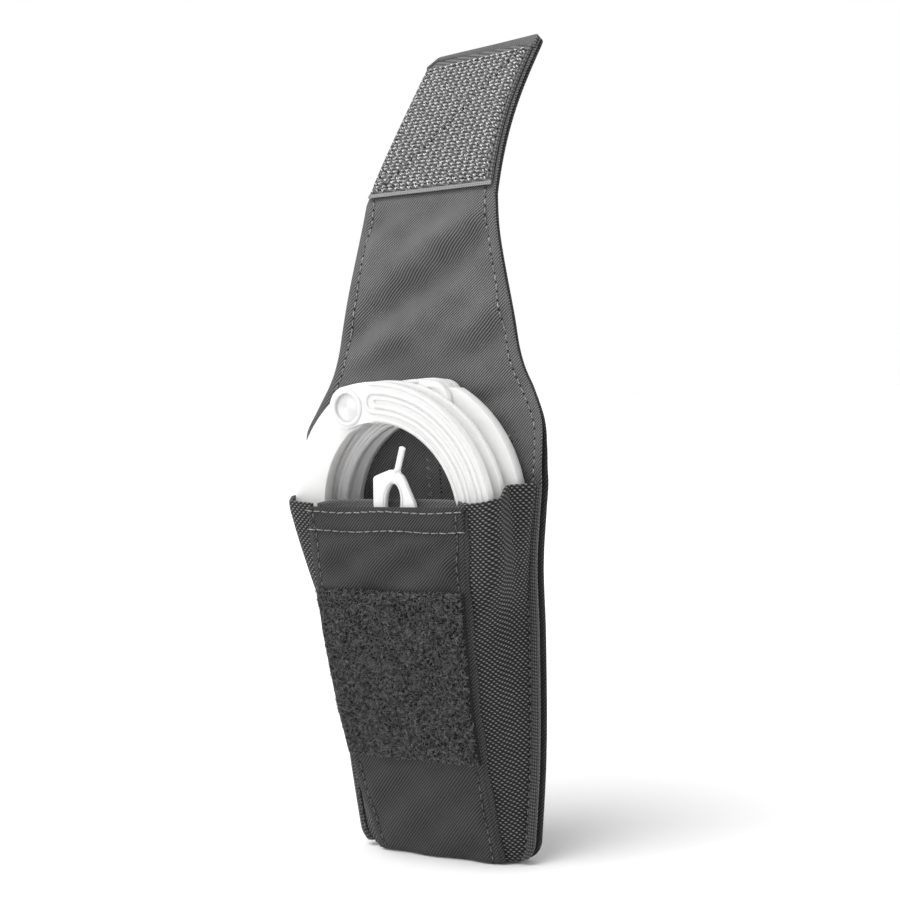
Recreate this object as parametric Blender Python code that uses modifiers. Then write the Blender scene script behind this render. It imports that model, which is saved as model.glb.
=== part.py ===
"""Belt pouch with a raised hook-and-loop flap, holding a folded pair of polymer wrist cuffs and a key.

All lengths below are in millimetres and are turned into metres when an object is made. The pouch is
designed in its own axes: X across, Y back (y = 0 is the inner face of the back), Z up (z = 0 is the
pouch's bottom edge). One empty moves it all, so that the world origin is the centre of the belt channel.
"""

import math

import bmesh
import bpy
from mathutils import Vector

MM = 0.001
GAP = 0.3                    # clearance left between pieces that touch

# pouch
POCKET_HEIGHT = 108.5        # top edge of the front panel
DEPTH_TOP = 23.4             # outer face of the front panel in front of the back lining, at its top
DEPTH_BOTTOM = 5.0
FRONT_HALF_TOP = 28.4        # half width of the front panel
FRONT_HALF_BOTTOM = 22.0
FRONT_THICK = 1.0
# (height, half width) of the back: it widens to the shoulder and narrows to the flap's neck
BACK_EDGE = [(0, 30.5), (31, 34.6), (69, 36.8), (92, 37.6), (104, 39.4), (116, 41.4), (128, 43.5)]
BACK_TOP = 146.1                    # just under the flap's first fold line
BACK_TOP_HALF = 35.2
CORNER_RADIUS = 6.0
LINING_THICK = 1.2
STIFFENER_THICK = 1.6
SHELL_THICK = 1.4
GUSSET_THICK = 1.2
LOOP_PATCH_SPAN = (32.6, 83.7)
LOOP_PATCH_THICK = 2.0

# flap: three stiff sections between fold lines, measured along the flap
FOLD_Y, FOLD_Z = 1.0, 147.0
FLAP_LENGTHS = (27.5, 24.6, 54.5)
FLAP_LEANS = (5.0, 10.0, 30.3)      # degrees back from upright at rest
FLAP_HALVES = (34.6, 28.9, 25.6, 23.6)
HOOK_THICK = 1.6
FOLD_ROOM = 0.9                     # each section stops this far from its fold line

# belt loop on the back
BELT_Y, BELT_Z = 7.8, 79.0          # centre of the belt channel, the world origin
LOOP_HALF = 28.0
LOOP_TOP, LOOP_BOTTOM = 111.5, 16.0
LOOP_INNER_Y = 10.8                 # inner face of the strap where the belt passes
LOOP_PRESSED_Y = 6.3                # inner face of the strap where it is snapped to the back
SNAP_Z = 24.0
SNAP_X = 16.0

# cuffs: a pair folded flat on each other, the rear one the mirror image of the front one
CUFF_FRONT_Y, CUFF_REAR_Y = -18.2, -9.1      # front face of each cuff
MIRROR_X = -1.0
CHEEK_THICK = 2.2
STRAND_THICK = 3.7
RING_X, RING_Z = -5.85, 104.4       # centre of the front cuff's fixed ring
RING_INNER, RING_OUTER = 28.6, 40.6
FRONT_PIVOT = (-15.15, 137.5)       # rivet that the swinging strand turns on
REAR_PIVOT = (-10.9, 138.1)         # the rear cuff's, before it is mirrored
STRAND_X, STRAND_Z = 1.0, 107.1     # centre of the swinging strand's arc
STRAND_INNER, STRAND_OUTER = 28.8, 40.0
BOSS_RADIUS = 6.4
RIVET_RADIUS = 4.15
TAIL_INNER, TAIL_OUTER = 62.5, 72.0          # toothed tail, round the rivet
TAIL_SWEEP, TAIL_TIP_X = 26.0, 11.82         # degrees of teeth, and where they end over the lock
PAWL_INNER, PAWL_OUTER, PAWL_PIN_RADIUS = 72.5, 75.2, 73.9
PAWL_SPAN = 16.0                    # degrees, round the rivet
TOOTH_DEPTH, TOOTH_COUNT = 1.3, 9
LOCK_BOTTOM = 58.0
HINGE_Z = 53.0
HINGE_PIN_RADIUS = 0.9
# inside the lock case: two knuckles for the hinge pin, and a wall behind the pawl
LOCK_FRAME = [(-18.5, 59.0), (-14, 58.6), (-14, 50.8), (-6, 50.8), (-6, 58.4), (4, 58.4), (4, 50.8),
              (12, 50.8), (12, 58.6), (17.5, 59.0), (17.5, 69.0), (12, 66.2), (12, 60.5), (-18.5, 60.6)]
KEYHOLE = (-12.0, 61.6)

# key and its slip pocket
KEY_Y = (-21.6, -19.8)
KEY_FOOT = [(-2.6, 89.5), (8.6, 89.5)]
KEY_RIGHT_SIDE = [(11.0, 100.0), (9.9, 109.3), (5.6, 118.0)]
KEY_PIN = [(5.0, 118.2), (7.4, 125.0), (5.2, 125.8), (2.9, 118.9)]
KEY_LEFT_SIDE = [(2.3, 119.2), (-4.3, 117.0), (-4.8, 109.2), (-4.4, 100.0)]
KEY_HOLE, KEY_HOLE_HALF, KEY_HOLE_LEAN = (2.3, 109.6), (2.75, 5.6), -8.0
POCKET_BACKING = [(25.2, 76), (26.8, 110.3)]
POCKET_BACKING_Y = (-19.4, -18.6)

# the elastic's way round the cuffs, seen from above: (x, y) from the front edge to the back edge
BULGE_RIGHT = [(34.7, -20.6), (36.5, -17.6), (36.2, -14.0), (35.9, -10.0)]
BULGE_LEFT = [(36.4, -20.6), (38.2, -17.6), (40.6, -15.2), (40.9, -10.0)]
BULGE_FROM, BULGE_FULL = 72.0, 94.0          # heights between which the bulge grows


for old in list(bpy.data.objects):
    bpy.data.objects.remove(old)


def new_collection(name):
    made = bpy.data.collections.new(name)
    bpy.context.scene.collection.children.link(made)
    return made


def new_material(name, colour, roughness, metallic=0.0):
    made = bpy.data.materials.new(name)
    made.use_nodes = True
    shader = made.node_tree.nodes["Principled BSDF"]
    shader.inputs["Base Color"].default_value = (*colour, 1.0)
    shader.inputs["Roughness"].default_value = roughness
    shader.inputs["Metallic"].default_value = metallic
    return made


parts, cutters = new_collection("cuff_pouch"), new_collection("cutters")
shell = new_material("shell_fabric", (0.040, 0.040, 0.042), 0.85)
lining = new_material("lining_fabric", (0.060, 0.060, 0.062), 0.75)
elastic = new_material("elastic_webbing", (0.045, 0.045, 0.047), 0.8)
loop_pile = new_material("loop_pile", (0.035, 0.035, 0.037), 0.95)
hook_tape = new_material("hook_tape", (0.16, 0.16, 0.165), 0.6)
binding = new_material("binding_tape", (0.045, 0.045, 0.047), 0.7)
stiffener = new_material("stiffener_plastic", (0.03, 0.03, 0.03), 0.5)
polymer = new_material("white_polymer", (0.88, 0.88, 0.87), 0.35)
rivet_polymer = new_material("rivet_polymer", (0.82, 0.82, 0.81), 0.4)
key_polymer = new_material("key_polymer", (0.88, 0.88, 0.87), 0.4)
steel = new_material("pin_steel", (0.55, 0.55, 0.56), 0.35, 1.0)
snap_metal = new_material("snap_metal", (0.03, 0.03, 0.03), 0.35, 0.6)


def new_empty(name, place, parent=None, lean=0.0):
    """A frame for pieces, at place in the parent's axes, leaning back by so many degrees."""
    made = bpy.data.objects.new(name, None)
    parts.objects.link(made)
    made.parent = parent
    made.location = [MM * v for v in place]
    made.rotation_euler.x = -math.radians(lean)
    return made


pouch = new_empty("belt_channel_centre", (0, -BELT_Y, -BELT_Z))


def arc(x, z, radius, start, end, steps):
    """Points on an arc in the XZ plane, from start to end in degrees."""
    turns = [math.radians(start + (end - start) * i / steps) for i in range(steps + 1)]
    return [(x + radius * math.cos(t), z + radius * math.sin(t)) for t in turns]


def circle(x, z, radius, steps=24):
    return arc(x, z, radius, 0, 360, steps)[:-1]


def plate(name, outline, near, far, material, parent, holes=()):
    """A flat piece: a closed outline in the XZ plane, with its holes, between two depths in Y."""
    data = bpy.data.curves.new(name, "CURVE")
    data.dimensions = "2D"
    data.fill_mode = "BOTH"
    data.extrude = MM * (far - near) / 2
    for loop in (outline, *holes):
        spline = data.splines.new("POLY")
        spline.points.add(len(loop) - 1)
        for point, (x, z) in zip(spline.points, loop):
            point.co = (MM * x, MM * z, 0, 1)
        spline.use_cyclic_u = True
    data.materials.append(material)
    made = bpy.data.objects.new(name, data)
    parts.objects.link(made)
    made.parent = parent
    made.location = (0, MM * (near + far) / 2, 0)
    made.rotation_euler.x = math.pi / 2
    return made


def cylinder(name, radius, start, end, material, parent, steps=24):
    """A round solid between two points."""
    start, end = Vector(start), Vector(end)
    shape = bmesh.new()
    bmesh.ops.create_cone(shape, cap_ends=True, segments=steps, radius1=MM * radius,
                          radius2=MM * radius, depth=MM * (end - start).length)
    data = bpy.data.meshes.new(name)
    shape.to_mesh(data)
    shape.free()
    data.materials.append(material)
    data.shade_smooth()
    data.set_sharp_from_angle(angle=math.radians(40))
    made = bpy.data.objects.new(name, data)
    parts.objects.link(made)
    made.parent = parent
    made.location = MM * (start + end) / 2
    made.rotation_euler = (end - start).to_track_quat("Z", "Y").to_euler()
    return made


def fabric(name, across, up, place, thickness, material, parent):
    """A curved sheet: place(u, v) gives its middle surface, u from -1 to 1 across and v from 0 to 1 up."""
    shape = bmesh.new()
    bmesh.ops.create_grid(shape, x_segments=across, y_segments=up, size=1.0)
    for vert in shape.verts:
        vert.co = MM * Vector(place(vert.co.x, (vert.co.y + 1) / 2))
    data = bpy.data.meshes.new(name)
    shape.to_mesh(data)
    shape.free()
    data.materials.append(material)
    made = bpy.data.objects.new(name, data)
    parts.objects.link(made)
    made.parent = parent
    solid = made.modifiers.new("thickness", "SOLIDIFY")
    solid.thickness = MM * thickness
    solid.offset = 0.0
    solid.use_even_offset = True
    return made


def cut(piece, cutter):
    """Take the cutter out of the piece. A curve becomes a mesh first."""
    if piece.type == "CURVE":
        bpy.context.view_layer.update()
        data = bpy.data.meshes.new_from_object(piece.evaluated_get(bpy.context.evaluated_depsgraph_get()))
        shape = bmesh.new()
        shape.from_mesh(data)
        bmesh.ops.remove_doubles(shape, verts=shape.verts, dist=1e-5)
        shape.to_mesh(data)
        shape.free()
        name, parent, where = piece.name, piece.parent, piece.matrix_world.copy()
        bpy.data.objects.remove(piece)
        piece = bpy.data.objects.new(name, data)
        parts.objects.link(piece)
        piece.parent = parent
        piece.matrix_parent_inverse = parent.matrix_world.inverted()
        piece.matrix_basis = where
    parts.objects.unlink(cutter)
    cutters.objects.link(cutter)
    cutter.hide_render = True
    cutter.display_type = "WIRE"
    difference = piece.modifiers.new("cut " + cutter.name, "BOOLEAN")
    difference.operation = "DIFFERENCE"
    difference.object = cutter
    return piece


def blend(low, high, value):
    """0 below low, 1 above high, and smooth between."""
    t = min(max((value - low) / (high - low), 0.0), 1.0)
    return t * t * (3 - 2 * t)


def front_depth(z):
    """How far the front panel's outer face stands in front of the back lining."""
    return DEPTH_BOTTOM + (DEPTH_TOP - DEPTH_BOTTOM) * (1 - (1 - min(z / POCKET_HEIGHT, 1.0)) ** 2.2)


def front_half(z):
    return FRONT_HALF_BOTTOM + (FRONT_HALF_TOP - FRONT_HALF_BOTTOM) * (z / POCKET_HEIGHT) ** 0.9


def back_half(z):
    """Half width of the back below the shoulder."""
    for (low, narrow), (high, wide) in zip(BACK_EDGE, BACK_EDGE[1:]):
        if z <= high:
            return narrow + (wide - narrow) * (z - low) / (high - low)
    return BACK_EDGE[-1][1]


def mirrored(right_side):
    """A closed outline from its right side, given from bottom to top."""
    return right_side + [(-x, z) for x, z in reversed(right_side)]


def back_outline(inset, top, top_half):
    """The back's outline up to its shoulder and neck."""
    corner = arc(BACK_EDGE[0][1] - CORNER_RADIUS, CORNER_RADIUS, CORNER_RADIUS - inset, -90, -5, 5)
    side = corner + [(half - inset, z) for z, half in BACK_EDGE[1:] if z < top]
    return mirrored(side + [(top_half, top)])


def make_back():
    lining_far = LINING_THICK
    stiff_near = lining_far + GAP
    shell_near = stiff_near + STIFFENER_THICK + GAP
    plate("back_lining", back_outline(0, BACK_TOP, BACK_TOP_HALF), 0, lining_far, lining, pouch)
    plate("back_stiffener", back_outline(4.0, 122.0, 37.0), stiff_near, stiff_near + STIFFENER_THICK,
          stiffener, pouch)
    plate("back_shell", back_outline(0, BACK_TOP, BACK_TOP_HALF), shell_near,
          shell_near + SHELL_THICK, shell, pouch)
    for side, word in ((1, "right"), (-1, "left")):
        heights = [8 + 13 * i for i in range(9)]
        inner = [(side * (back_half(z) - 0.3), z) for z in heights]
        outer = [(side * (back_half(z) + 0.8), z) for z in reversed(heights)]
        plate("edge_binding_" + word, inner + outer, -3.4, -GAP, binding, pouch)


def make_front():
    def panel(u, v):
        z = POCKET_HEIGHT * v
        return u * front_half(z), -front_depth(z) + FRONT_THICK / 2, z

    def patch(u, v):
        z = LOOP_PATCH_SPAN[0] + (LOOP_PATCH_SPAN[1] - LOOP_PATCH_SPAN[0]) * v
        return u * front_half(z), -front_depth(z) - GAP - LOOP_PATCH_THICK / 2, z

    fabric("front_panel", 4, 12, panel, FRONT_THICK, shell, pouch)
    fabric("loop_patch", 4, 6, patch, LOOP_PATCH_THICK, loop_pile, pouch)
    plate("key_pocket_backing", mirrored(POCKET_BACKING), *POCKET_BACKING_Y, lining, pouch)
    floor_half = FRONT_HALF_BOTTOM - 1.1
    floor = [(-floor_half, 0.0), (floor_half, 0.0), (floor_half, 1.2), (-floor_half, 1.2)]
    plate("bottom_panel", floor, -DEPTH_BOTTOM + FRONT_THICK + GAP, -GAP, shell, pouch)


def make_gusset(side, word, bulge):
    """Elastic side wall: a loft from the front panel's edge to the back's edge.

    It runs straight low down, and higher up through the bulge's points, round the cuffs.
    """
    def place(u, v):
        t = (u + 1) / 2
        z = v * (POCKET_HEIGHT + 4.5 * t - 1.0)
        front = Vector((front_half(z) - 0.5, -front_depth(z) + FRONT_THICK + GAP + GUSSET_THICK / 2))
        back = Vector((back_half(z) - 1.6, -GAP - GUSSET_THICK / 2))
        straight = front.lerp(back, t)
        stations = (front, *(Vector(point) for point in bulge), Vector((back_half(z) - 0.7, -5.4)), back)
        step = min(int(t * 6), 5)
        full = stations[step].lerp(stations[step + 1], t * 6 - step)
        x, y = straight.lerp(full, blend(BULGE_FROM, BULGE_FULL, z))
        return side * x, y, z

    fabric("gusset_" + word, 8, 14, place, GUSSET_THICK, elastic, pouch)


def make_belt_loop():
    """A strap behind the pouch, sewn at its top and snapped to the back at its lower end."""
    def strap(inner):
        def place(u, v):
            z = LOOP_BOTTOM + (LOOP_TOP - LOOP_BOTTOM) * v
            y = LOOP_PRESSED_Y + (LOOP_INNER_Y - LOOP_PRESSED_Y) * blend(32, 50, z)
            return u * LOOP_HALF, y + inner + LINING_THICK / 2, z
        return place

    seam = [(-LOOP_HALF, 112.3), (LOOP_HALF, 112.3), (LOOP_HALF, 120.3), (-LOOP_HALF, 120.3)]
    plate("belt_loop_top_seam", seam, 5.1, 12.0, shell, pouch)
    fabric("belt_loop_strap", 2, 16, strap(0.0), LINING_THICK, binding, pouch)
    fabric("belt_loop_cover", 2, 16, strap(LINING_THICK + GAP), LINING_THICK, shell, pouch)
    cap_near = LOOP_PRESSED_Y + 2 * LINING_THICK + 2 * GAP
    for side, word in ((1, "right"), (-1, "left")):
        x = side * SNAP_X
        cylinder("snap_stud_" + word, 5.5, (x, 5.1, SNAP_Z), (x, 6.0, SNAP_Z), snap_metal, pouch)
        cylinder("snap_cap_" + word, 6.5, (x, cap_near, SNAP_Z), (x, cap_near + 1.6, SNAP_Z),
                 snap_metal, pouch)


def make_flap():
    """Three flat sections, each hung on the fold line at the end of the one before."""
    y, z = FOLD_Y, FOLD_Z
    for i, word in enumerate(("lower", "middle", "tip")):
        length, lean = FLAP_LENGTHS[i], FLAP_LEANS[i]
        fold = new_empty("fold_" + word, (0, y, z), pouch, lean)
        near_half, far_half = FLAP_HALVES[i], FLAP_HALVES[i + 1]
        start = FOLD_ROOM
        end = length - (FOLD_ROOM if i < 2 else 0.0)
        chamfer = 3.4 if i == 2 else 0.0
        outline = [(near_half, start), (far_half, end), (-far_half + chamfer, end)]
        if chamfer:
            outline.append((-far_half, end - chamfer))
        outline.append((-near_half, start))
        face = GAP
        plate(f"flap_{word}_lining", outline, face, face + LINING_THICK, lining, fold)
        back = face + LINING_THICK + GAP
        plate(f"flap_{word}_shell", outline, back, back + SHELL_THICK, shell, fold)
        if i == 2:
            hook = [(near_half - 0.6, 3.0), (far_half - 0.6, end - 0.6),
                    (-far_half + chamfer, end - 0.6), (-far_half + 0.6, end - chamfer),
                    (-near_half + 0.6, 3.0)]
            plate("hook_patch", hook, face - GAP - HOOK_THICK, face - GAP, hook_tape, fold)
        y += length * math.sin(math.radians(lean))
        z += length * math.cos(math.radians(lean))


def flipped(outline, flip):
    """The outline, or its mirror image about the pair's middle."""
    return [(2 * MIRROR_X - x, z) for x, z in outline] if flip else outline


def turn_of(centre_x, centre_z, point):
    """The direction of a point from a centre, in degrees."""
    return math.degrees(math.atan2(point[1] - centre_z, point[0] - centre_x))


def tail_end(pivot):
    """The turn about the rivet at which the toothed tail ends, over the lock."""
    return -math.degrees(math.acos((TAIL_TIP_X - pivot[0]) / TAIL_OUTER))


def cheek_outline(pivot):
    """Boss, ring and lock case in one outline, clockwise from the boss over the top."""
    at = turn_of(RING_X, RING_Z, pivot)
    boss = arc(*pivot, BOSS_RADIUS, at + 159, at - 10, 12)
    outer = arc(RING_X, RING_Z, RING_OUTER, at - 6.5, -52, 22)
    case = [(19.2, 62.0)] + arc(15.2, LOCK_BOTTOM + 4, 4, 0, -90, 3)
    case += arc(-16.0, LOCK_BOTTOM + 4, 4, -90, -180, 3) + [(-20.0, 76.0)]
    inner = arc(RING_X, RING_Z, RING_INNER, -118, at - 8.5, 28)
    return boss + outer + case + inner


def strand_outline(pivot):
    """Boss, swinging arc and toothed tail in one outline, anticlockwise from the boss."""
    at = turn_of(STRAND_X, STRAND_Z, pivot)
    boss = arc(*pivot, BOSS_RADIUS, at - 190, at + 30, 14)
    outer = arc(STRAND_X, STRAND_Z, STRAND_OUTER, at + 9, 232, 14)
    last = tail_end(pivot)
    first = last - TAIL_SWEEP
    teeth = []
    for i in range(TOOTH_COUNT):
        turn = first + TAIL_SWEEP * i / TOOTH_COUNT
        teeth += arc(*pivot, TAIL_OUTER, turn, turn, 1)[:1]
        teeth += arc(*pivot, TAIL_OUTER - TOOTH_DEPTH, turn + 0.6, turn + 0.6, 1)[:1]
    tip = arc(*pivot, TAIL_OUTER, last, last, 1)[:1]
    tail = arc(*pivot, TAIL_INNER, last, last - 18, 5)
    inner = arc(STRAND_X, STRAND_Z, STRAND_INNER, 235, at + 9, 16)
    return boss + outer + teeth + tip + tail + inner


def make_cuff(word, front, flip, rivet_at):
    """One cuff: two cheeks, and between them the lock frame, pawl and swinging strand."""
    strand_near = front + CHEEK_THICK + GAP
    strand_far = strand_near + STRAND_THICK
    pivot = flipped([rivet_at], flip)[0]
    pawl_end = tail_end(rivet_at) - 3
    pawl_pin = flipped(arc(*rivet_at, PAWL_PIN_RADIUS, pawl_end - 1.5, pawl_end - 1.5, 1), flip)[0]
    holes = [circle(*pivot, RIVET_RADIUS + GAP), circle(*pawl_pin, 1.2, 12)]
    keyhole = [circle(*flipped([KEYHOLE], flip)[0], 1.5, 12)]
    depths = ((front, front + CHEEK_THICK), (strand_far + GAP, strand_far + GAP + CHEEK_THICK))
    for (near, far), which in zip(depths, ("front", "back")):
        extra = keyhole if which == ("back" if flip else "front") else []
        plate(f"{word}_cuff_{which}_cheek", flipped(cheek_outline(rivet_at), flip), near, far, polymer,
              pouch, holes + extra)
    plate(f"{word}_cuff_strand", flipped(strand_outline(rivet_at), flip), strand_near, strand_far,
          polymer, pouch, [circle(*pivot, RIVET_RADIUS + GAP)])
    cylinder(f"{word}_cuff_rivet", RIVET_RADIUS, (pivot[0], front + 0.4, pivot[1]),
             (pivot[0], depths[1][1] - 0.4, pivot[1]), rivet_polymer, pouch, 32)
    pawl = arc(*rivet_at, PAWL_INNER, pawl_end - PAWL_SPAN, pawl_end, 8)
    pawl += arc(*rivet_at, PAWL_OUTER, pawl_end, pawl_end - PAWL_SPAN, 8)
    plate(f"{word}_cuff_pawl", flipped(pawl, flip), strand_near, strand_far, steel, pouch,
          [circle(*pawl_pin, 1.1, 12)])
    cylinder(f"{word}_cuff_pawl_pin", 0.8, (pawl_pin[0], front + 0.3, pawl_pin[1]),
             (pawl_pin[0], depths[1][1] - 0.3, pawl_pin[1]), steel, pouch, 12)
    lock_frame = plate(f"{word}_cuff_lock_frame", flipped(LOCK_FRAME, flip), strand_near,
                       strand_far, polymer, pouch)
    y = (strand_near + strand_far) / 2
    ends = [x for x, _ in flipped([(-14.6, 0), (12.6, 0)], flip)]
    bore = cylinder(f"{word}_hinge_bore", HINGE_PIN_RADIUS + GAP, (min(ends) - 4, y, HINGE_Z),
                    (max(ends) + 4, y, HINGE_Z), steel, pouch, 12)
    cut(lock_frame, bore)
    cylinder(f"{word}_hinge_pin", HINGE_PIN_RADIUS, (min(ends), y, HINGE_Z),
             (max(ends), y, HINGE_Z), steel, pouch, 12)
    return y


def make_hinge_leaf(front_y, rear_y):
    """The link that joins the two lock cases, round both hinge pins."""
    middle, half = (front_y + rear_y) / 2, (rear_y - front_y) / 2
    outline = arc(-half, 0, 2.2, 90, 270, 8) + arc(half, 0, 2.2, -90, 90, 8)
    holes = [circle(s * half, 0, HINGE_PIN_RADIUS + GAP, 12) for s in (-1, 1)]
    leaf = plate("hinge_leaf", outline, -4.6, 2.6, polymer, pouch, holes)
    leaf.rotation_euler.z = math.pi / 2
    leaf.location = (MM * MIRROR_X, MM * middle, MM * HINGE_Z)


def make_key():
    """A flat key: a tapered bow with an oval hole, and a pin standing out of its top corner."""
    lean = math.radians(KEY_HOLE_LEAN)
    hole = []
    for x, z in circle(0, 0, 1.0, 18):
        x, z = x * KEY_HOLE_HALF[0], z * KEY_HOLE_HALF[1]
        hole.append((KEY_HOLE[0] + x * math.cos(lean) - z * math.sin(lean),
                     KEY_HOLE[1] + x * math.sin(lean) + z * math.cos(lean)))
    outline = KEY_FOOT + KEY_RIGHT_SIDE + KEY_PIN + KEY_LEFT_SIDE
    plate("key", outline, *KEY_Y, key_polymer, pouch, [hole])


make_back()
make_front()
make_gusset(1, "right", BULGE_RIGHT)
make_gusset(-1, "left", BULGE_LEFT)
make_belt_loop()
make_flap()
make_hinge_leaf(make_cuff("front", CUFF_FRONT_Y, False, FRONT_PIVOT),
                make_cuff("rear", CUFF_REAR_Y, True, REAR_PIVOT))
make_key()
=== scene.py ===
"""Looks of the cuff pouch: cloth, elastic, hook and loop tape, moulded cuffs and key, lights and camera.

Lengths are in millimetres in the pouch's own axes: X across, Y back from the inner face of its back,
Z up from its bottom edge. Function place() turns them into the frame's metres.
"""

import math
import random

import bmesh
import bpy
import numpy as np
from mathutils import Matrix, Vector


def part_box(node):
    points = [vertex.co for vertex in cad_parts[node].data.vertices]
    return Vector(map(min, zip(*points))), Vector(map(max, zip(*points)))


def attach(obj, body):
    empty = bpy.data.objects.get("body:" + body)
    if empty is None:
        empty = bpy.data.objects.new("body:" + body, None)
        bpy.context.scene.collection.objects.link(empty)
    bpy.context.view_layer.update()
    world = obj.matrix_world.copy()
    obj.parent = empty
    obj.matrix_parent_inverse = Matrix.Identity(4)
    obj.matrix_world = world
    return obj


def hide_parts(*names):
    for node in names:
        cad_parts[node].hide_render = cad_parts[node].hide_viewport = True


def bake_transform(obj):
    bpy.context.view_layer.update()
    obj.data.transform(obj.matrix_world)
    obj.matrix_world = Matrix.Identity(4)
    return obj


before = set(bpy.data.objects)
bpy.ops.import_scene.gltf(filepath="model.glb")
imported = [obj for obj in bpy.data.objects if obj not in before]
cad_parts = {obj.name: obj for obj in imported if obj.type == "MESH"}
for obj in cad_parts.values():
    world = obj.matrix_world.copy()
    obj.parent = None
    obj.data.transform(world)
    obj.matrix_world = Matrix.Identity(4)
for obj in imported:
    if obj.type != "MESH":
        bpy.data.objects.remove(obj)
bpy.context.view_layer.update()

MM = 0.001
RANDOM = random.Random(7)


def low(node):
    """Lowest corner of a CAD node, in mm of the frame."""
    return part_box(node)[0] * 1000


def high(node):
    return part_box(node)[1] * 1000


ORIGIN = Vector((0.0, low("back_lining").y, low("back_lining").z))


def place(x, y, z):
    """A point of the pouch, in mm, as the frame's metres."""
    return (Vector((x, y, z)) + ORIGIN) * MM


# ------------------------------------------------------------------ sizes, from the frame where it has them
HEIGHT = high("front_panel").z - ORIGIN.z
PATCH_LOW = low("loop_patch").z - ORIGIN.z
PATCH_HIGH = high("loop_patch").z - ORIGIN.z
BACKING_TOP = high("key_pocket_backing").z - ORIGIN.z
DEPTH_TOP, DEPTH_BOTTOM = 23.4, 5.0
FRONT_HALF_TOP, FRONT_HALF_BOTTOM = 28.4, 22.0
FOLD_1 = Vector((0.0, 1.0, 147.0))
FLAP_LENGTHS = (27.5, 24.6, 54.5)
FLAP_LEANS = tuple(math.radians(d) for d in (5.0, 10.0, 30.3))
FOLD_2 = FOLD_1 + FLAP_LENGTHS[0] * Vector((0, math.sin(FLAP_LEANS[0]), math.cos(FLAP_LEANS[0])))
FOLD_3 = FOLD_2 + FLAP_LENGTHS[1] * Vector((0, math.sin(FLAP_LEANS[1]), math.cos(FLAP_LEANS[1])))
TIP_LENGTH = FLAP_LENGTHS[2]
TIP_FOLD_Z, TIP_HALF, TIP_END_HALF = 198.6, 25.7, 23.4
TIP_ALONG = Vector((0, math.sin(FLAP_LEANS[2]), math.cos(FLAP_LEANS[2])))
TIP_BACK = Vector((0, math.cos(FLAP_LEANS[2]), -math.sin(FLAP_LEANS[2])))
TAPE_START, TAPE_HALF = 2.6, 24.0   # the hook tape's lower edge above the fold, and its half width
TAPE_SEAM_SLOPE = 0.9               # of the one seam that slants across the tape
RING = Vector((-5.85, 104.4))
RING_INNER, RING_OUTER = 28.6, 40.6
FRONT_PIVOT, REAR_PIVOT = (-15.15, 137.5), (-10.9, 138.1)
BOSS_RADIUS = 6.4
STRAND = Vector((1.0, 107.1))
STRAND_INNER, STRAND_OUTER = 28.8, 40.0
MIRROR_X = -1.0
CUFF_FRONT_Y, CUFF_REAR_Y = -18.2, -9.1
CHEEK, STRAND_THICK, GAP = 2.2, 3.7, 0.3
RIVET_RADIUS, CHEEK_BORE, STRAND_BORE, PIN_BORE = 4.22, 4.3, 4.4, 1.1
KEYHOLE, KEYHOLE_RADIUS = (-12.0, 61.6), 1.5
RIB_END = -42                       # the turn round the ring at which the ribs go down behind the panel
TIP_TWIST = -2.6                    # how far the flap's right edge comes forward at the tip's fold
CHAMFER = 3.5                       # the tip's cut corner
EDGE_SEAM = 3.4                     # stitch line in from the flap's edge
SIDE_SEAM = 2.3                     # and in from the front panel's edge
HEM_SEAMS = (1.5, 7.2)              # both stitch lines below the front panel's top
TAIL_INNER, TAIL_OUTER, TAIL_SWEEP, TAIL_TIP_X = 62.5, 72.0, 26.0, 11.82
TOOTH_COUNT, TOOTH_DEPTH = 9, 1.3
PAWL_PIN_RADIUS, PAWL_PIN_BEFORE_TIP = 73.9, 4.5     # mm from the rivet, and degrees round it


def smooth(low_end, high_end, value):
    """0 below low_end, 1 above high_end, smooth between."""
    t = min(max((value - low_end) / (high_end - low_end), 0.0), 1.0)
    return t * t * (3 - 2 * t)


def curve_through(points):
    """A smooth function through (x, y) points, flat beyond its ends."""
    xs, ys = np.array(points, float).T
    slopes = np.gradient(ys, xs)

    def value(x):
        if x <= xs[0]:
            return float(ys[0])
        if x >= xs[-1]:
            return float(ys[-1])
        i = int(np.searchsorted(xs, x)) - 1
        h = xs[i + 1] - xs[i]
        t = (x - xs[i]) / h
        a, b = 2 * t**3 - 3 * t**2 + 1, t**3 - 2 * t**2 + t
        c, d = -2 * t**3 + 3 * t**2, t**3 - t**2
        return float(a * ys[i] + b * h * slopes[i] + c * ys[i + 1] + d * h * slopes[i + 1])
    return value


back_edge = curve_through([(0, 30.6), (31, 34.4), (69, 36.6), (92, 37.4), (104, 39.2), (116, 41.9),
                           (124, 43.3), (130, 43.2), (135, 41.2), (140, 38.6), (147, 34.9), (152, 33.2),
                           (160, 31.6), (174, 29.1), (188, 26.9), (TIP_FOLD_Z, TIP_HALF)])
back_depth = curve_through([(0, 0), (60, 0), (110, 0), (135, 0.3), (147, 1.3), (160, 2.6), (174, 3.9),
                            (188, 5.9), (TIP_FOLD_Z, 8.3)])
shoulder_curl = curve_through([(92, 0), (104, -0.4), (112, -1.6), (120, -3.6), (128, -3.6), (135, -1.4),
                               (142, 0)])


def back_half(z):
    """Half width of the back and flap up to the tip's fold, with round bottom corners."""
    radius = 6.0
    half = back_edge(z)
    if z < radius:
        half -= radius - math.sqrt(max(radius**2 - (radius - z) ** 2, 0.0))
    return half


def front_depth(z):
    return DEPTH_BOTTOM + (DEPTH_TOP - DEPTH_BOTTOM) * (1 - (1 - min(z / HEIGHT, 1.0)) ** 2.2)


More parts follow.
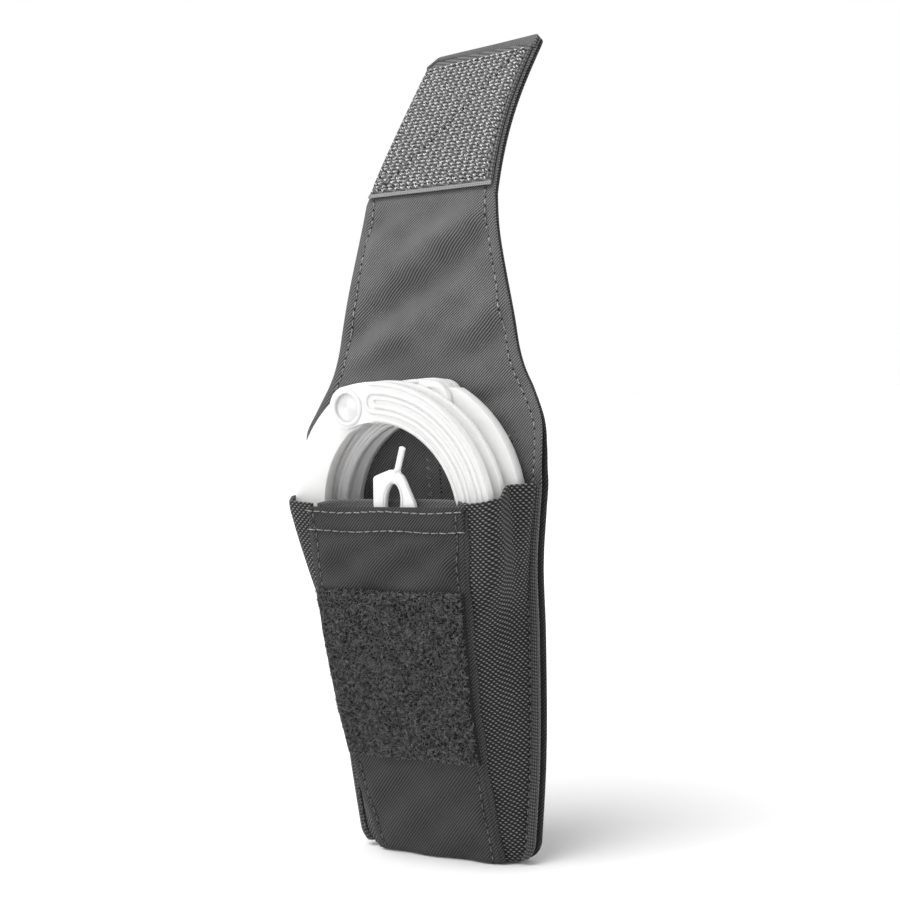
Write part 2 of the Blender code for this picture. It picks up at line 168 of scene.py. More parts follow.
def front_half(z):
    return FRONT_HALF_BOTTOM + (FRONT_HALF_TOP - FRONT_HALF_BOTTOM) * (max(z, 0) / HEIGHT) ** 0.9


def curl(x, z):
    """How far the back's edges come forward at the shoulders, where the elastic pulls them."""
    return shoulder_curl(z) * min(abs(x) / back_half(z), 1.05) ** 8


def wave(x, z, tilt, length, phase):
    """A long soft ripple across the cloth, rising to the right by tilt degrees."""
    a = math.radians(tilt)
    return math.sin(2 * math.pi * (z * math.cos(a) - x * math.sin(a)) / length + phase)


def back_surface(x, z):
    """Inner face of the back and of the flap below its tip."""
    y = back_depth(z) + curl(x, z)
    inside = smooth(0.0, 9.0, back_half(z) - abs(x))
    ripple = 1.9 * wave(x, z, 17, 27, 0.9) + 1.0 * wave(x, z, 31, 15, 2.0)
    ripple += 0.4 * wave(x, z, -24, 11, 0.4)
    pucker = math.exp(-((x - 24) / 9) ** 2 - ((z - 136) / 8) ** 2)
    y += 0.7 * pucker * inside * math.sin((z - 0.3 * x - 128) / 1.9)
    y += TIP_TWIST * x / back_half(z) * smooth(160, TIP_FOLD_Z, z)
    return y + ripple * inside * smooth(144, 160, z) * (1 - 0.75 * smooth(190, 198, z))


def tip_point(x_share, s):
    """A point of the flap's tip: its share of the half width, and the length from the fold."""
    cut_left = CHAMFER * min(max((-x_share - 0.84) / 0.16, 0), 1)
    s -= cut_left * (max(s, 0.0) / TIP_LENGTH) ** 8
    round_right = 1.4 * min(max((x_share - 0.93) / 0.07, 0), 1) ** 2
    s -= round_right * (max(s, 0.0) / TIP_LENGTH) ** 8
    t = max(s, 0.0) / TIP_LENGTH
    half = TIP_HALF + (TIP_END_HALF - TIP_HALF) * t
    bent = t**1.25
    fold = Vector((0, back_depth(TIP_FOLD_Z), TIP_FOLD_Z))
    point = fold + TIP_ALONG * (s + bent * (0.9 - 1.5 * x_share))
    point += TIP_BACK * (bent * (1.2 - 4.2 * x_share) + 0.5 * math.sin(math.pi * t) * (1 - x_share**2))
    hollow = math.sin(math.pi * min(t, 1.0)) * (x_share + 1) / 2
    point.x = x_share * half + 4.6 * bent - 1.5 * hollow
    point.y += TIP_TWIST * x_share * (1 - t) - 1.8 * hollow
    return point


# ------------------------------------------------------------------ materials
class Shader:
    """A material's node tree, with a short call for each node that is used here."""

    def __init__(self, name):
        self.material = bpy.data.materials.new(name)
        self.material.use_nodes = True
        self.nodes = self.material.node_tree.nodes
        self.links = self.material.node_tree.links
        self.shader = self.nodes["Principled BSDF"]

    def link(self, source, target):
        if isinstance(source, (int, float)):
            target.default_value = source
        else:
            self.links.new(source, target)

    def math(self, operation, a, b=0.0):
        node = self.nodes.new("ShaderNodeMath")
        node.operation = operation
        self.link(a, node.inputs[0])
        self.link(b, node.inputs[1])
        return node.outputs[0]

    def plus(self, a, b):
        return self.math("ADD", a, b)

    def times(self, a, b):
        return self.math("MULTIPLY", a, b)

    def uv(self):
        """The cloth's own coordinates, in mm along and across it."""
        node = self.nodes.new("ShaderNodeUVMap")
        node.uv_map = "cloth"
        split = self.nodes.new("ShaderNodeSeparateXYZ")
        self.links.new(node.outputs[0], split.inputs[0])
        return node.outputs[0], split.outputs[0], split.outputs[1]

    def object_mm(self):
        """Object coordinates, in mm."""
        node = self.nodes.new("ShaderNodeTexCoord")
        scale = self.nodes.new("ShaderNodeVectorMath")
        scale.operation = "SCALE"
        scale.inputs["Scale"].default_value = 1000
        self.links.new(node.outputs["Object"], scale.inputs[0])
        return scale.outputs[0]

    def noise(self, vector, size, detail=3.0, rough=0.55):
        """Noise from 0 to 1 with features of about size, in the vector's units."""
        node = self.nodes.new("ShaderNodeTexNoise")
        node.inputs["Scale"].default_value = 1.0 / size
        node.inputs["Detail"].default_value = detail
        node.inputs["Roughness"].default_value = rough
        self.links.new(vector, node.inputs["Vector"])
        return node.outputs["Fac"]

    def unit(self, turned):
        """A wave from 0 to 1, of an angle."""
        return self.plus(self.times(self.math("SINE", turned), 0.5), 0.5)

    def ramp(self, value, stops):
        """Colours at places along 0 to 1: stops are (place, grey or colour)."""
        node = self.nodes.new("ShaderNodeValToRGB")
        self.links.new(value, node.inputs[0])
        elements = node.color_ramp.elements
        while len(elements) < len(stops):
            elements.new(0.5)
        for element, (where, colour) in zip(elements, stops):
            element.position = where
            colour = (colour,) * 3 if isinstance(colour, (int, float)) else colour
            element.color = (*colour, 1.0)
        return node.outputs[0]

    def bump(self, height, depth):
        """Depth in mm for a height from 0 to 1."""
        node = self.nodes.new("ShaderNodeBump")
        node.inputs["Strength"].default_value = 1.0
        node.inputs["Distance"].default_value = depth * MM
        self.links.new(height, node.inputs["Height"])
        self.links.new(node.outputs[0], self.shader.inputs["Normal"])

    def set(self, **values):
        for key, value in values.items():
            socket = self.shader.inputs[key.replace("_", " ")]
            if isinstance(value, (int, float, tuple)):
                socket.default_value = value
            else:
                self.links.new(value, socket)


def twill(name, dark, light, pitch, angle, depth, sheen, rough=0.72):
    """Woven nylon with a diagonal rib: floats along the rib broken by the crossing threads."""
    s = Shader(name)
    vector, u, v = s.uv()
    a = math.radians(angle)
    across = s.plus(s.times(u, math.sin(a)), s.times(v, -math.cos(a)))
    along = s.plus(s.times(u, math.cos(a)), s.times(v, math.sin(a)))
    wander = s.times(s.noise(vector, 6.0), 0.15)
    rib = s.unit(s.times(s.plus(across, wander), 2 * math.pi / pitch))
    thread = s.unit(s.times(s.plus(along, s.times(across, 0.7)),
                           2 * math.pi / (pitch * 0.8)))
    fuzz = s.noise(vector, 0.5, 4.0, 0.7)
    broken = s.plus(s.times(thread, 0.6), 0.4)
    height = s.times(s.math("POWER", rib, 1.3), broken)
    height = s.plus(s.times(height, 0.78), s.times(fuzz, 0.22))
    # patch: broad lighter and darker tone, put in for the sheen and shade that the cloth's wrinkles catch;
    # painted sheen and shade, laid at random over the cloth
    patch = s.noise(vector, 15.0, 3.0)
    tone = s.plus(s.times(height, 0.8), s.times(patch, 0.22))
    s.set(Base_Color=s.ramp(tone, [(0.16, dark), (0.86, light)]), Roughness=rough)
    s.set(Sheen_Weight=sheen, Sheen_Roughness=0.5, Specular_IOR_Level=0.35)
    s.bump(height, depth)
    return s.material


def elastic(name, dark, light):
    """Knitted elastic: staggered rows of short bright floats over dark rubber threads."""
    s = Shader(name)
    vector, u, v = s.uv()
    row, stitch = 0.72, 1.7
    count = s.math("DIVIDE", v, row)
    stagger = s.math("FRACT", s.times(s.math("FLOOR", count), 0.5))
    slant = s.times(s.math("FRACT", count), 0.16)
    across = s.plus(s.math("DIVIDE", u, stitch), s.plus(stagger, slant))
    left = s.unit(s.times(across, 2 * math.pi))
    rows = s.unit(s.math("SUBTRACT", s.times(count, 2 * math.pi), math.pi / 2))
    fuzz = s.noise(vector, 0.45, 4.0, 0.75)
    float_height = s.times(s.math("POWER", left, 1.6), s.math("POWER", rows, 0.7))
    height = s.plus(s.times(float_height, 0.8), s.times(fuzz, 0.25))
    tone = s.plus(height, s.times(s.noise(vector, 9.0), 0.18))
    s.set(Base_Color=s.ramp(tone, [(0.3, dark), (0.65, light * 0.4), (1.0, light)]), Roughness=0.8)
    s.set(Sheen_Weight=0.05, Sheen_Roughness=0.5, Specular_IOR_Level=0.35)
    s.bump(height, 0.34)
    return s.material


def ladder(name, dark, light, period=1.0):
    """Narrow woven tape: cross ribs over fine lengthwise threads."""
    s = Shader(name)
    vector, u, v = s.uv()
    ribs = s.unit(s.times(s.plus(v, s.times(u, 0.25)), 2 * math.pi / period))
    threads = s.unit(s.times(u, 2 * math.pi / 0.6))
    fuzz = s.noise(vector, 0.4, 4.0, 0.7)
    height = s.plus(s.times(s.times(ribs, threads), 0.75),
                    s.times(fuzz, 0.3))
    s.set(Base_Color=s.ramp(height, [(0.15, dark), (0.95, light)]), Roughness=0.7)
    s.set(Sheen_Weight=0.15, Specular_IOR_Level=0.4)
    s.bump(height, 0.22)
    return s.material


def fibre(name, dark, light, rough, size=2.5):
    """Nylon thread or monofilament, with its tone changing from strand to strand."""
    s = Shader(name)
    vector = s.object_mm()
    s.set(Base_Color=s.ramp(s.noise(vector, size, 2.0), [(0.3, dark), (0.7, light)]), Roughness=rough)
    s.set(Specular_IOR_Level=0.5)
    s.bump(s.noise(vector, 0.25, 2.0), 0.03)
    return s.material


def moulded(name, dark, light, rough, grain, depth, glow=0.0):
    """Moulded plastic with a fine spark-eroded grain, flow marks and handled edges."""
    s = Shader(name)
    vector = s.object_mm()
    fine = s.noise(vector, grain, 3.0, 0.6)
    broad = s.noise(vector, 14.0, 2.0)
    tone = s.plus(s.times(fine, 0.45), s.times(broad, 0.55))
    s.set(Base_Color=s.ramp(tone, [(0.3, dark), (0.7, light)]))
    s.set(Roughness=s.plus(s.times(broad, 0.16), rough - 0.08))
    s.set(Subsurface_Weight=glow, Subsurface_Scale=0.004)
    s.shader.inputs["Subsurface Radius"].default_value = (1.0, 1.0, 1.0)
    s.bump(fine, depth)
    return s.material


def spun(name, centre, dark, light):
    """A turned face: fine rings round the rivet's axis, and a painted highlight of two lighter and two darker
    sectors across it.
    """
    s = Shader(name)
    vector = s.object_mm()
    offset = s.nodes.new("ShaderNodeVectorMath")
    offset.operation = "SUBTRACT"
    offset.inputs[1].default_value = centre
    s.links.new(vector, offset.inputs[0])
    split = s.nodes.new("ShaderNodeSeparateXYZ")
    s.links.new(offset.outputs[0], split.inputs[0])
    squared = s.plus(s.math("POWER", split.outputs[0], 2.0), s.math("POWER", split.outputs[2], 2.0))
    radius = s.math("SQRT", squared)
    rings = s.unit(s.times(radius, 2 * math.pi / 0.42))
    # glint: lighter and darker sectors round the axis, a painted highlight of the turned face
    spokes = s.math("ARCTAN2", split.outputs[2], split.outputs[0])
    glint = s.unit(s.times(spokes, 2.0))
    tone = s.plus(s.times(rings, 0.35), s.times(glint, 0.65))
    s.set(Base_Color=s.ramp(tone, [(0.1, dark), (0.95, light)]), Roughness=0.34)
    s.set(Specular_IOR_Level=0.6)
    s.bump(rings, 0.05)
    return s.material


def metal(name, colour, rough, coated=False):
    """Ground steel, or a dull black coat worn thin."""
    s = Shader(name)
    vector = s.object_mm()
    wear = s.noise(vector, 1.8, 5.0, 0.7)
    worn = tuple(min(c * 1.8 + 0.03, 1.0) for c in colour)
    s.set(Base_Color=s.ramp(wear, [(0.4, colour), (0.75, worn)]), Metallic=0.6 if coated else 1.0)
    s.set(Roughness=s.plus(s.times(wear, 0.25), rough - 0.1))
    s.bump(s.noise(vector, 0.3, 3.0), 0.02)
    return s.material


LINING = twill("lining_twill", 0.010, 0.25, 0.70, 43, 0.15, 0.12)
SHELL = twill("shell_twill", 0.002, 0.082, 0.74, 45, 0.16, 0.05, 0.8)
ELASTIC = elastic("elastic_weave", 0.002, 0.23)
BINDING = ladder("binding_weave", 0.004, 0.15)
SELVEDGE = ladder("tape_selvedge", 0.16, 0.50, 0.7)
PILE_BASE = twill("pile_ground", 0.004, 0.02, 0.9, 20, 0.3, 0.0, 0.95)
PILE = fibre("pile_fibre", 0.006, 0.15, 0.45, 1.1)
HOOK_BASE = ladder("hook_ground", 0.02, 0.30, 1.3)
HOOK = fibre("hook_monofilament", 0.34, 0.80, 0.38, 1.2)
THREAD = fibre("pale_thread", 0.12, 0.30, 0.6, 1.0)
DARK_THREAD = fibre("dark_thread", 0.05, 0.34, 0.65, 1.0)
DULL_THREAD = fibre("dull_thread", 0.02, 0.15, 0.7, 1.0)
# near-black material for the needle holes: painted shade inside the holes
NEEDLE_HOLE_SHADE = fibre("needle_hole_painted_shade", 0.002, 0.006, 0.9)
POLYMER = moulded("white_moulding", (0.77, 0.768, 0.762), (0.82, 0.818, 0.814), 0.42, 0.35, 0.035, 0.5)
STRAND_WHITE = moulded("white_grained", (0.75, 0.747, 0.74), (0.81, 0.808, 0.803), 0.55, 0.28, 0.08, 0.5)
KEY_WHITE = moulded("key_moulding", (0.78, 0.777, 0.77), (0.84, 0.838, 0.833), 0.4, 0.4, 0.03, 0.4)
STIFFENER = moulded("stiffener_sheet", (0.02, 0.02, 0.021), (0.035, 0.035, 0.036), 0.5, 0.5, 0.03)
STEEL = metal("pin_steel", (0.50, 0.50, 0.51), 0.35)
SNAP = metal("snap_coat", (0.02, 0.02, 0.022), 0.4, coated=True)


# ------------------------------------------------------------------ mesh helpers
def add_to_scene(name, data):
    made = bpy.data.objects.new(name, data)
    bpy.context.scene.collection.objects.link(made)
    return made


def new_object(name, verts, faces, material, uv=None, sharp=40):
    """A mesh object in the frame, from points in mm of the pouch."""
    data = bpy.data.meshes.new(name)
    points = (np.asarray(verts, float) + np.array(ORIGIN)) * MM
    data.from_pydata(points.tolist(), [], [tuple(int(i) for i in f) for f in faces])
    data.materials.append(material)
    if uv is not None:
        layer = data.uv_layers.new(name="cloth")
        loops = np.empty(len(data.loops), int)
        data.loops.foreach_get("vertex_index", loops)
        layer.data.foreach_set("uv", np.asarray(uv, float)[loops].ravel())
    data.shade_smooth()
    data.set_sharp_from_angle(angle=math.radians(sharp))
    return add_to_scene(name, data)


def cloth(name, surface, us, vs, thick, material, tile=None, round_edge=0.9, open_ends=(False, False)):
    """A closed sheet: surface(u, v) is its middle, in mm, on the grid us by vs.

    tile(u, v) gives the weave's coordinates in mm. The thickness rounds off towards the edges, but not
    at an end that another sheet carries on from.
    """
    nu, nv = len(us), len(vs)
    mid = np.array([[surface(u, v) for u in us] for v in vs], float).reshape(nv, nu, 3)
    e = 0.02
    du = np.array([[np.array(surface(u + e, v)) - np.array(surface(u - e, v)) for u in us] for v in vs])
    dv = np.array([[np.array(surface(u, v + e)) - np.array(surface(u, v - e)) for u in us] for v in vs])
    normal = np.cross(du, dv)
    normal /= np.linalg.norm(normal, axis=2, keepdims=True)

    def shoulder(values, start_open, end_open):
        values = np.asarray(values, float)
        near = np.full(len(values), 1e9) if start_open else values - values[0]
        far = np.full(len(values), 1e9) if end_open else values[-1] - values
        gone = np.clip(np.minimum(near, far) / round_edge, 0, 1)
        return np.sqrt(np.clip(1 - (1 - gone) ** 2, 0.09, 1))

    along_u = shoulder(us, False, False)
    along_v = shoulder(vs, *open_ends)
    half = (thick / 2 * np.minimum.outer(along_v, along_u))[:, :, None]
    front, back = mid - normal * half, mid + normal * half
    verts = np.concatenate([front.reshape(-1, 3), back.reshape(-1, 3)])
    index = np.arange(nu * nv).reshape(nv, nu)
    a, b, c, d = index[:-1, :-1], index[:-1, 1:], index[1:, 1:], index[1:, :-1]
    faces = [np.stack([d, c, b, a], -1).reshape(-1, 4)]
    faces.append(np.stack([a, b, c, d], -1).reshape(-1, 4) + nu * nv)
    rim = np.concatenate([index[0, :-1], index[:-1, -1], index[-1, :0:-1], index[:0:-1, 0]])
    nxt = np.roll(rim, -1)
    faces.append(np.stack([rim, nxt, nxt + nu * nv, rim + nu * nv], -1))
    tile = tile or (lambda u, v: (u, v))
    uv = np.array([[tile(u, v) for u in us] for v in vs], float).reshape(-1, 2)
    return new_object(name, verts, np.concatenate(faces), material, uv=np.concatenate([uv, uv]), sharp=60)


def ring_faces(rows, n, way=1):
    """Faces of a capped tube: rows of n points each; way is -1 where the points run the other way."""
    faces = []
    for j in range(rows - 1):
        for k in range(n):
            a, b = j * n + k, j * n + (k + 1) % n
            faces.append((a, b, b + n, a + n)[::way])
    faces.append(tuple(range(n))[::-way])
    faces.append(tuple((rows - 1) * n + k for k in range(n))[::way])
    return faces


def tube(points, radius, sides=5, flat=1.0, up=None):
    """Verts and faces of a round thread through points, thinner at its ends."""
    points = [Vector(p) for p in points]
    verts = []
    up = Vector(up or (0, -1, 0.1))
    for i, p in enumerate(points):
        ahead = points[min(i + 1, len(points) - 1)] - points[max(i - 1, 0)]
        side = ahead.cross(up).normalized()
        top = side.cross(ahead).normalized()
        taper = 0.55 if i in (0, len(points) - 1) else 1.0
        for k in range(sides):
            t = 2 * math.pi * k / sides
            across, rise = radius * taper * math.cos(t), radius * flat * taper * math.sin(t)
            verts.append(p + side * across + top * rise)
    return verts, ring_faces(len(points), sides)


def gather(name, shapes, material, sharp=50, holes=()):
    """Many small closed shapes as one piece; the needle holes among them get a near-black material of their
    own, painted shade in the holes.
    """
    verts, faces = [], []
    for v, f in (*shapes, *holes):
        base = len(verts)
        verts += [tuple(p) for p in v]
        faces += [tuple(i + base for i in face) for face in f]
    made = new_object(name, verts, faces, material, sharp=sharp)
    if holes:
        made.data.materials.append(NEEDLE_HOLE_SHADE)
        dark = sum(len(f) for _, f in holes)
        for polygon in made.data.polygons[-dark:]:
            polygon.material_index = 1
    return made


def run_along(points):
    """How far along a line of points each of them is."""
    return np.concatenate([[0], np.cumsum([(b - a).length for a, b in zip(points, points[1:])])])


def walk(path, spacing):
    """Points every so many mm along a line given as a list of points."""
    path = [Vector(p) for p in path]
    lengths = run_along(path)
    for d in np.arange(0, lengths[-1], spacing):
        i = min(int(np.searchsorted(lengths, d, side="right")) - 1, len(path) - 2)
        share = (d - lengths[i]) / max(lengths[i + 1] - lengths[i], 1e-9)
        yield path[i].lerp(path[i + 1], share), (path[i + 1] - path[i]).normalized()


def stitches(name, lines, material, length=2.5, pitch=3.2, radius=0.27, out=(0, -1, 0), lift=0.12,
             holes=True):
    """Lockstitch along each line: threads that rise out of the cloth and dip in at needle holes."""
    shapes, dimples = [], []
    out = Vector(out)
    for line in lines:
        for point, ahead in walk(line, pitch):
            skew = ahead.cross(out) * RANDOM.uniform(-0.10, 0.10)
            reach = length * RANDOM.uniform(0.9, 1.05)
            pts = []
            for t, rise in ((-0.5, -0.3), (-0.36, 0.05), (0, 0.16), (0.36, 0.05), (0.5, -0.3)):
                pts.append(point + (ahead + skew) * (t * reach) + out * (lift + rise))
            shapes.append(tube(pts, radius, 6, 0.8, out))
            # a near-black dimple at each needle hole: painted shade
            if holes:
                spot = point + ahead * (pitch / 2) + out * lift
                ends = [spot - out * 0.3, spot - out * 0.1, spot + out * 0.02, spot + out * 0.07]
                dimples.append(tube(ends, 0.34, 6, 1.0, ahead))
    return gather(name, shapes, material, holes=dimples)


def finish_piece(piece, body, slot, *nodes, blend=None):
    """Hangs the piece on its body, or when given a blend leaves it in the frame with its place baked into the
    mesh; hides the CAD nodes that it stands for.
    """
    if blend:
        tuple(blend[1])
        tuple(blend[2])
        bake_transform(piece)
    else:
        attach(piece, body)
    if nodes:
        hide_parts(*nodes)


def sew(name, lines, thread, body, slot, blend=None, **stitch):
    """One row or more of stitches, as a piece of the body."""
    finish_piece(stitches(name, lines, thread, **stitch), body, slot, blend=blend)


def flat_area(half_width, first, last, length=None, steps=200):
    """Area of a cut sheet between two heights, in square metres; length is along its curve."""
    widths = [2 * half_width(z) for z in np.linspace(first, last, steps)]
    along = np.linspace(0, length, steps) if length else np.linspace(first, last, steps)
    return float(np.trapz(widths, along)) * 1e-6


# ------------------------------------------------------------------ the back and the flap
SPLIT_1, SPLIT_2 = 160.0, 188.0     # where one cloth piece carries on into the next
NECK_BEND = ("flap_lower", place(0, 1, 139), place(0, 1, 155))
MIDDLE_BEND = ("flap_middle", place(0, 1, 166), place(0, 1, 183))
TIP_DIRECTION = Vector((0, math.sin(0.35), math.cos(0.35)))
TIP_BEND = ("flap_tip", (FOLD_3 - 5 * TIP_DIRECTION + ORIGIN) * MM,
            (FOLD_3 + 5 * TIP_DIRECTION + ORIGIN) * MM)


def flap_point(u, v, offset):
    """A point of back or flap: u is -100 to 100 from edge to edge, v is mm up, then along the tip."""
    share = u / 100.0
    if v <= TIP_FOLD_Z:
        x = share * back_half(v)
        lean = back_depth(v + 0.5) - back_depth(v - 0.5)
        away = Vector((0, 1, -lean)).normalized()
        groove = 0.3 * math.exp(-((back_half(v) - abs(x) - EDGE_SEAM) / 0.8) ** 2)
        return Vector((x, back_surface(x, v), v)) + away * (offset + groove * smooth(100, 116, v))
    near = Vector((0, math.cos(0.2), -math.sin(0.2)))
    away = near.lerp(TIP_BACK, smooth(TIP_FOLD_Z, 204.0, v))
    return tip_point(share, v - TIP_FOLD_Z) + away * offset


def shell_offset(v):
    """Distance of the outer cloth behind the inner face: wide over the stiffener, close on the flap."""
    return 3.95 - 2.1 * smooth(112, 138, v)


def flap_half(v):
    """Half width of the back, then of the flap up to its end."""
    if v <= TIP_FOLD_Z:
        return back_half(v)
    return TIP_HALF + (TIP_END_HALF - TIP_HALF) * (v - TIP_FOLD_Z) / TIP_LENGTH


def make_back_and_flap():
    """Lining and shell, each in three pieces that carry on into one another at the folds."""
    shares = np.concatenate([np.linspace(-100, -86, 12), np.linspace(-83, 83, 38), np.linspace(86, 100, 12)])
    sections = (("back", 0.35, SPLIT_1, 86.7, "pouch", NECK_BEND, ("back_", "flap_lower_")),
                ("flap_middle", SPLIT_1, SPLIT_2, 63.3, "flap_lower", MIDDLE_BEND, ("flap_middle_",)),
                ("flap_tip", SPLIT_2, TIP_FOLD_Z + TIP_LENGTH, 54.0, "flap_middle", TIP_BEND, ("flap_tip_",)))
    layers = (("lining", lambda v: 0.45, 0.9, LINING), ("shell", shell_offset, 1.2, SHELL))

    def tile(u, v):
        return (u / 100 * back_half(min(v, 198.0)), v)
    for word, start, end, width, body, bend, nodes in sections:
        open_ends = (word != "back", word != "flap_tip")
        vs = np.concatenate([[start, start + 0.4, start + 0.9], np.arange(start + 1.6, end - 1.5, 1.3),
                             [end - 0.9, end - 0.4, end]])
        for layer, offset, thick, material in layers:
            piece = cloth(f"{word}_{layer}_cloth", lambda u, v: flap_point(u, v, offset(v)), shares, vs,
                          thick, material, tile, 2.2, open_ends)
            finish_piece(piece, body, f"{layer}_fabric", *(node + layer for node in nodes), blend=bend)
            flat_area(flap_half, start, end)


def edge_lines(start, end, offset):
    """The two lines down the flap's sides, EDGE_SEAM in from its edges."""
    lines = []
    for side in (-1, 1):
        points = []
        for v in np.arange(start, end, 1.0):
            half = back_half(v) if v <= TIP_FOLD_Z else TIP_HALF
            points.append(flap_point(side * 100 * (1 - EDGE_SEAM / half), v, offset(v)))
        lines.append(points)
    return lines


def flap_seams():
    """Edge stitching down both sides of the flap and shoulders, in three runs, one on each piece of the
    cloth.
    """
    runs = (("shoulder", 114, SPLIT_1, "pouch", NECK_BEND),
            ("middle", SPLIT_1, SPLIT_2, "flap_lower", MIDDLE_BEND),
            ("tip", SPLIT_2, 200, "flap_middle", TIP_BEND))
    for word, start, end, body, bend in runs:
        sew(f"flap_{word}_edge_stitches", edge_lines(start, end, lambda v: 0.0), DARK_THREAD, body,
            "lining_fabric", bend, length=1.8, pitch=2.8, radius=0.25, lift=0.14)
        behind = edge_lines(start, end, lambda v: shell_offset(v) + 0.62)
        sew(f"flap_{word}_back_stitches", behind, DULL_THREAD, body, "shell_fabric", bend, length=1.9,
            pitch=2.7, radius=0.2, out=(0, 1, 0), lift=0.0)
    tacks = []
    for x0, z0, x1, z1, rows in ((1.6, 108.5, 1.6, 120.5, 9), (27.6, 126.6, 31.6, 127.6, 4)):
        for k in range(rows):
            t = (k + 0.5) / rows
            centre = Vector((x0 + (x1 - x0) * t, 0, z0 + (z1 - z0) * t))
            slant = 0.9 if k % 2 else -0.9
            tacks.append([Vector((centre.x - 1.1, 0, centre.z - slant * 0.5)),
                          Vector((centre.x + 1.1, 0, centre.z + slant * 0.5))])
    lines = [[p + Vector((0, back_surface(p.x, p.z), 0)) for p in line] for line in tacks]
    sew("lining_bar_tacks", lines, DARK_THREAD, "pouch", "lining_fabric", length=2.0, pitch=9.0, radius=0.2,
        lift=0.0)


# ------------------------------------------------------------------ hook tape on the tip
def hook_surface(u, v, lift):
    """A point of the hook tape, v mm from its lower edge."""
    return tip_point(u / 100 * 0.965, TAPE_START + v) - TIP_BACK * lift


def make_hook_tape():
    length = TIP_LENGTH - TAPE_START - 2.0
    us = np.concatenate([[-100, -99, -97], np.linspace(-94, 94, 44), [97, 99, 100]])
    vs = np.concatenate([[0, 0.4, 0.9], np.arange(1.6, length - 1.0, 1.1), [length - 0.4, length]])

    def from_seam(x, v):
        """How far a point is from the slanting seam, square to it."""
        return abs(x - (v - length / 2) * TAPE_SEAM_SLOPE) / 1.35

    def base(u, v):
        dip = 0.25 * math.exp(-((abs(u) - 93) / 2.5) ** 2) + 0.25 * math.exp(-((v - 3.2) / 0.8) ** 2)
        dip += 0.35 * math.exp(-(from_seam(u / 100 * TAPE_HALF, v) / 0.8) ** 2)
        return hook_surface(u, v, 0.75 - dip)
    tape = cloth("hook_tape_ground", base, us, vs, 0.9, HOOK_BASE,
                 lambda u, v: (u / 100 * TAPE_HALF, v), 1.6)
    finish_piece(tape, "flap_tip", "hook_tape", "hook_patch")

    shapes = []
    row, columns = 1.28, 35
    out, down = -TIP_BACK, -TIP_ALONG
    for j in range(int((length - 3.0) / row)):
        v = 2.0 + j * row
        for i in range(columns):
            x = (-0.955 + 1.91 * (i + (0.5 if j % 2 else 0.0)) / columns) * TAPE_HALF
            if from_seam(x, v) < 0.5 or abs(abs(x) - 22.4) < 0.4 or x > 23.1:
                continue
            across = x / TAPE_HALF * 100 + RANDOM.uniform(-0.6, 0.6)
            foot = hook_surface(across, v + RANDOM.uniform(-0.12, 0.12), 1.1)
            turn = (0.75 if (i + j) % 2 else math.pi - 0.75) + RANDOM.uniform(-0.25, 0.25)
            lean = Vector((math.cos(turn), 0, 0)) + down * math.sin(turn)
            if abs(x) > 21.5:
                lean.x = abs(lean.x)
            lean *= RANDOM.uniform(0.75, 1.05)
            bend = [foot, foot + out * 0.5 + lean * 0.05, foot + out * 0.85 + lean * 0.35,
                    foot + out * 0.8 + lean * 0.75, foot + out * 0.45 + lean * 0.95]
            shapes.append(tube(bend, 0.2, 5, 1.0, (0.3, -0.8, 0.5)))
    finish_piece(gather("hook_tape_hooks", shapes, HOOK), "flap_tip", "hook_tape")
    lower = cloth("hook_tape_selvedge", lambda u, v: hook_surface(u, v - 0.5, 1.15), us,
                  np.linspace(0, 1.3, 7), 0.7, SELVEDGE, lambda u, v: (v, u / 100 * TAPE_HALF), 0.7)
    finish_piece(lower, "flap_tip", "hook_tape")

    def band(u, v):
        share = u / 100.0
        start = TIP_LENGTH - 1.6 - 2.6 * smooth(-0.9, 0.9, share)
        return tip_point(share * 0.99, start + v / 3.9 * (TIP_LENGTH - start)) + out * (
            0.45 + 0.3 * math.sin(v / 3.9 * math.pi))
    hem = cloth("flap_tip_folded_hem", band, us, np.linspace(0, 3.9, 9), 0.9, LINING,
                lambda u, v: (u / 100 * TAPE_HALF, v), 0.9)
    finish_piece(hem, "flap_tip", "lining_fabric")
    seams = [[hook_surface(u, v, 1.3) for u in np.arange(-90, 90, 4)] for v in (2.8, length - 3.0)]
    seams += [[hook_surface(u, v, 1.3) for v in np.arange(3, length - 2, 1.5)] for u in (-93.5, 93.5)]
    slant = TAPE_SEAM_SLOPE / TAPE_HALF * 100
    seams.append([hook_surface((v - length / 2) * slant, v, 1.3) for v in np.arange(3, length - 2, 1.5)])
    sew("hook_tape_stitches", seams, DARK_THREAD, "flap_tip", "hook_tape", length=2.0, pitch=2.8, radius=0.22,
        lift=0.0, out=out)


# ------------------------------------------------------------------ front panel, key pocket, loop patch
def front_surface(x, z, lift):
    """Outer face of the front panel, moved out by lift."""
    half = front_half(z)
    inside = smooth(0.0, 6.0, half - abs(x))
    under_hem = smooth(HEIGHT - 8.5, HEIGHT - 12, z) * smooth(PATCH_HIGH - 4, PATCH_HIGH + 3, z)
    ripple = 0.7 + 1.0 * wave(x, z, -38, 17, 1.1) + 0.7 * wave(x, z, 30, 13, 0.2)
    low_wrinkle = 0.6 * wave(x, z, 35, 13, 0.5) * smooth(PATCH_LOW, PATCH_LOW - 5, z)
    hem = 0.55 * smooth(HEIGHT - 7.4, HEIGHT - 6.4, z)
    y = -front_depth(z) + 0.5 - ripple * inside * under_hem - low_wrinkle * inside - hem
    y += 0.5 * (abs(x) / half) ** 6
    return Vector((x, y - lift, z))


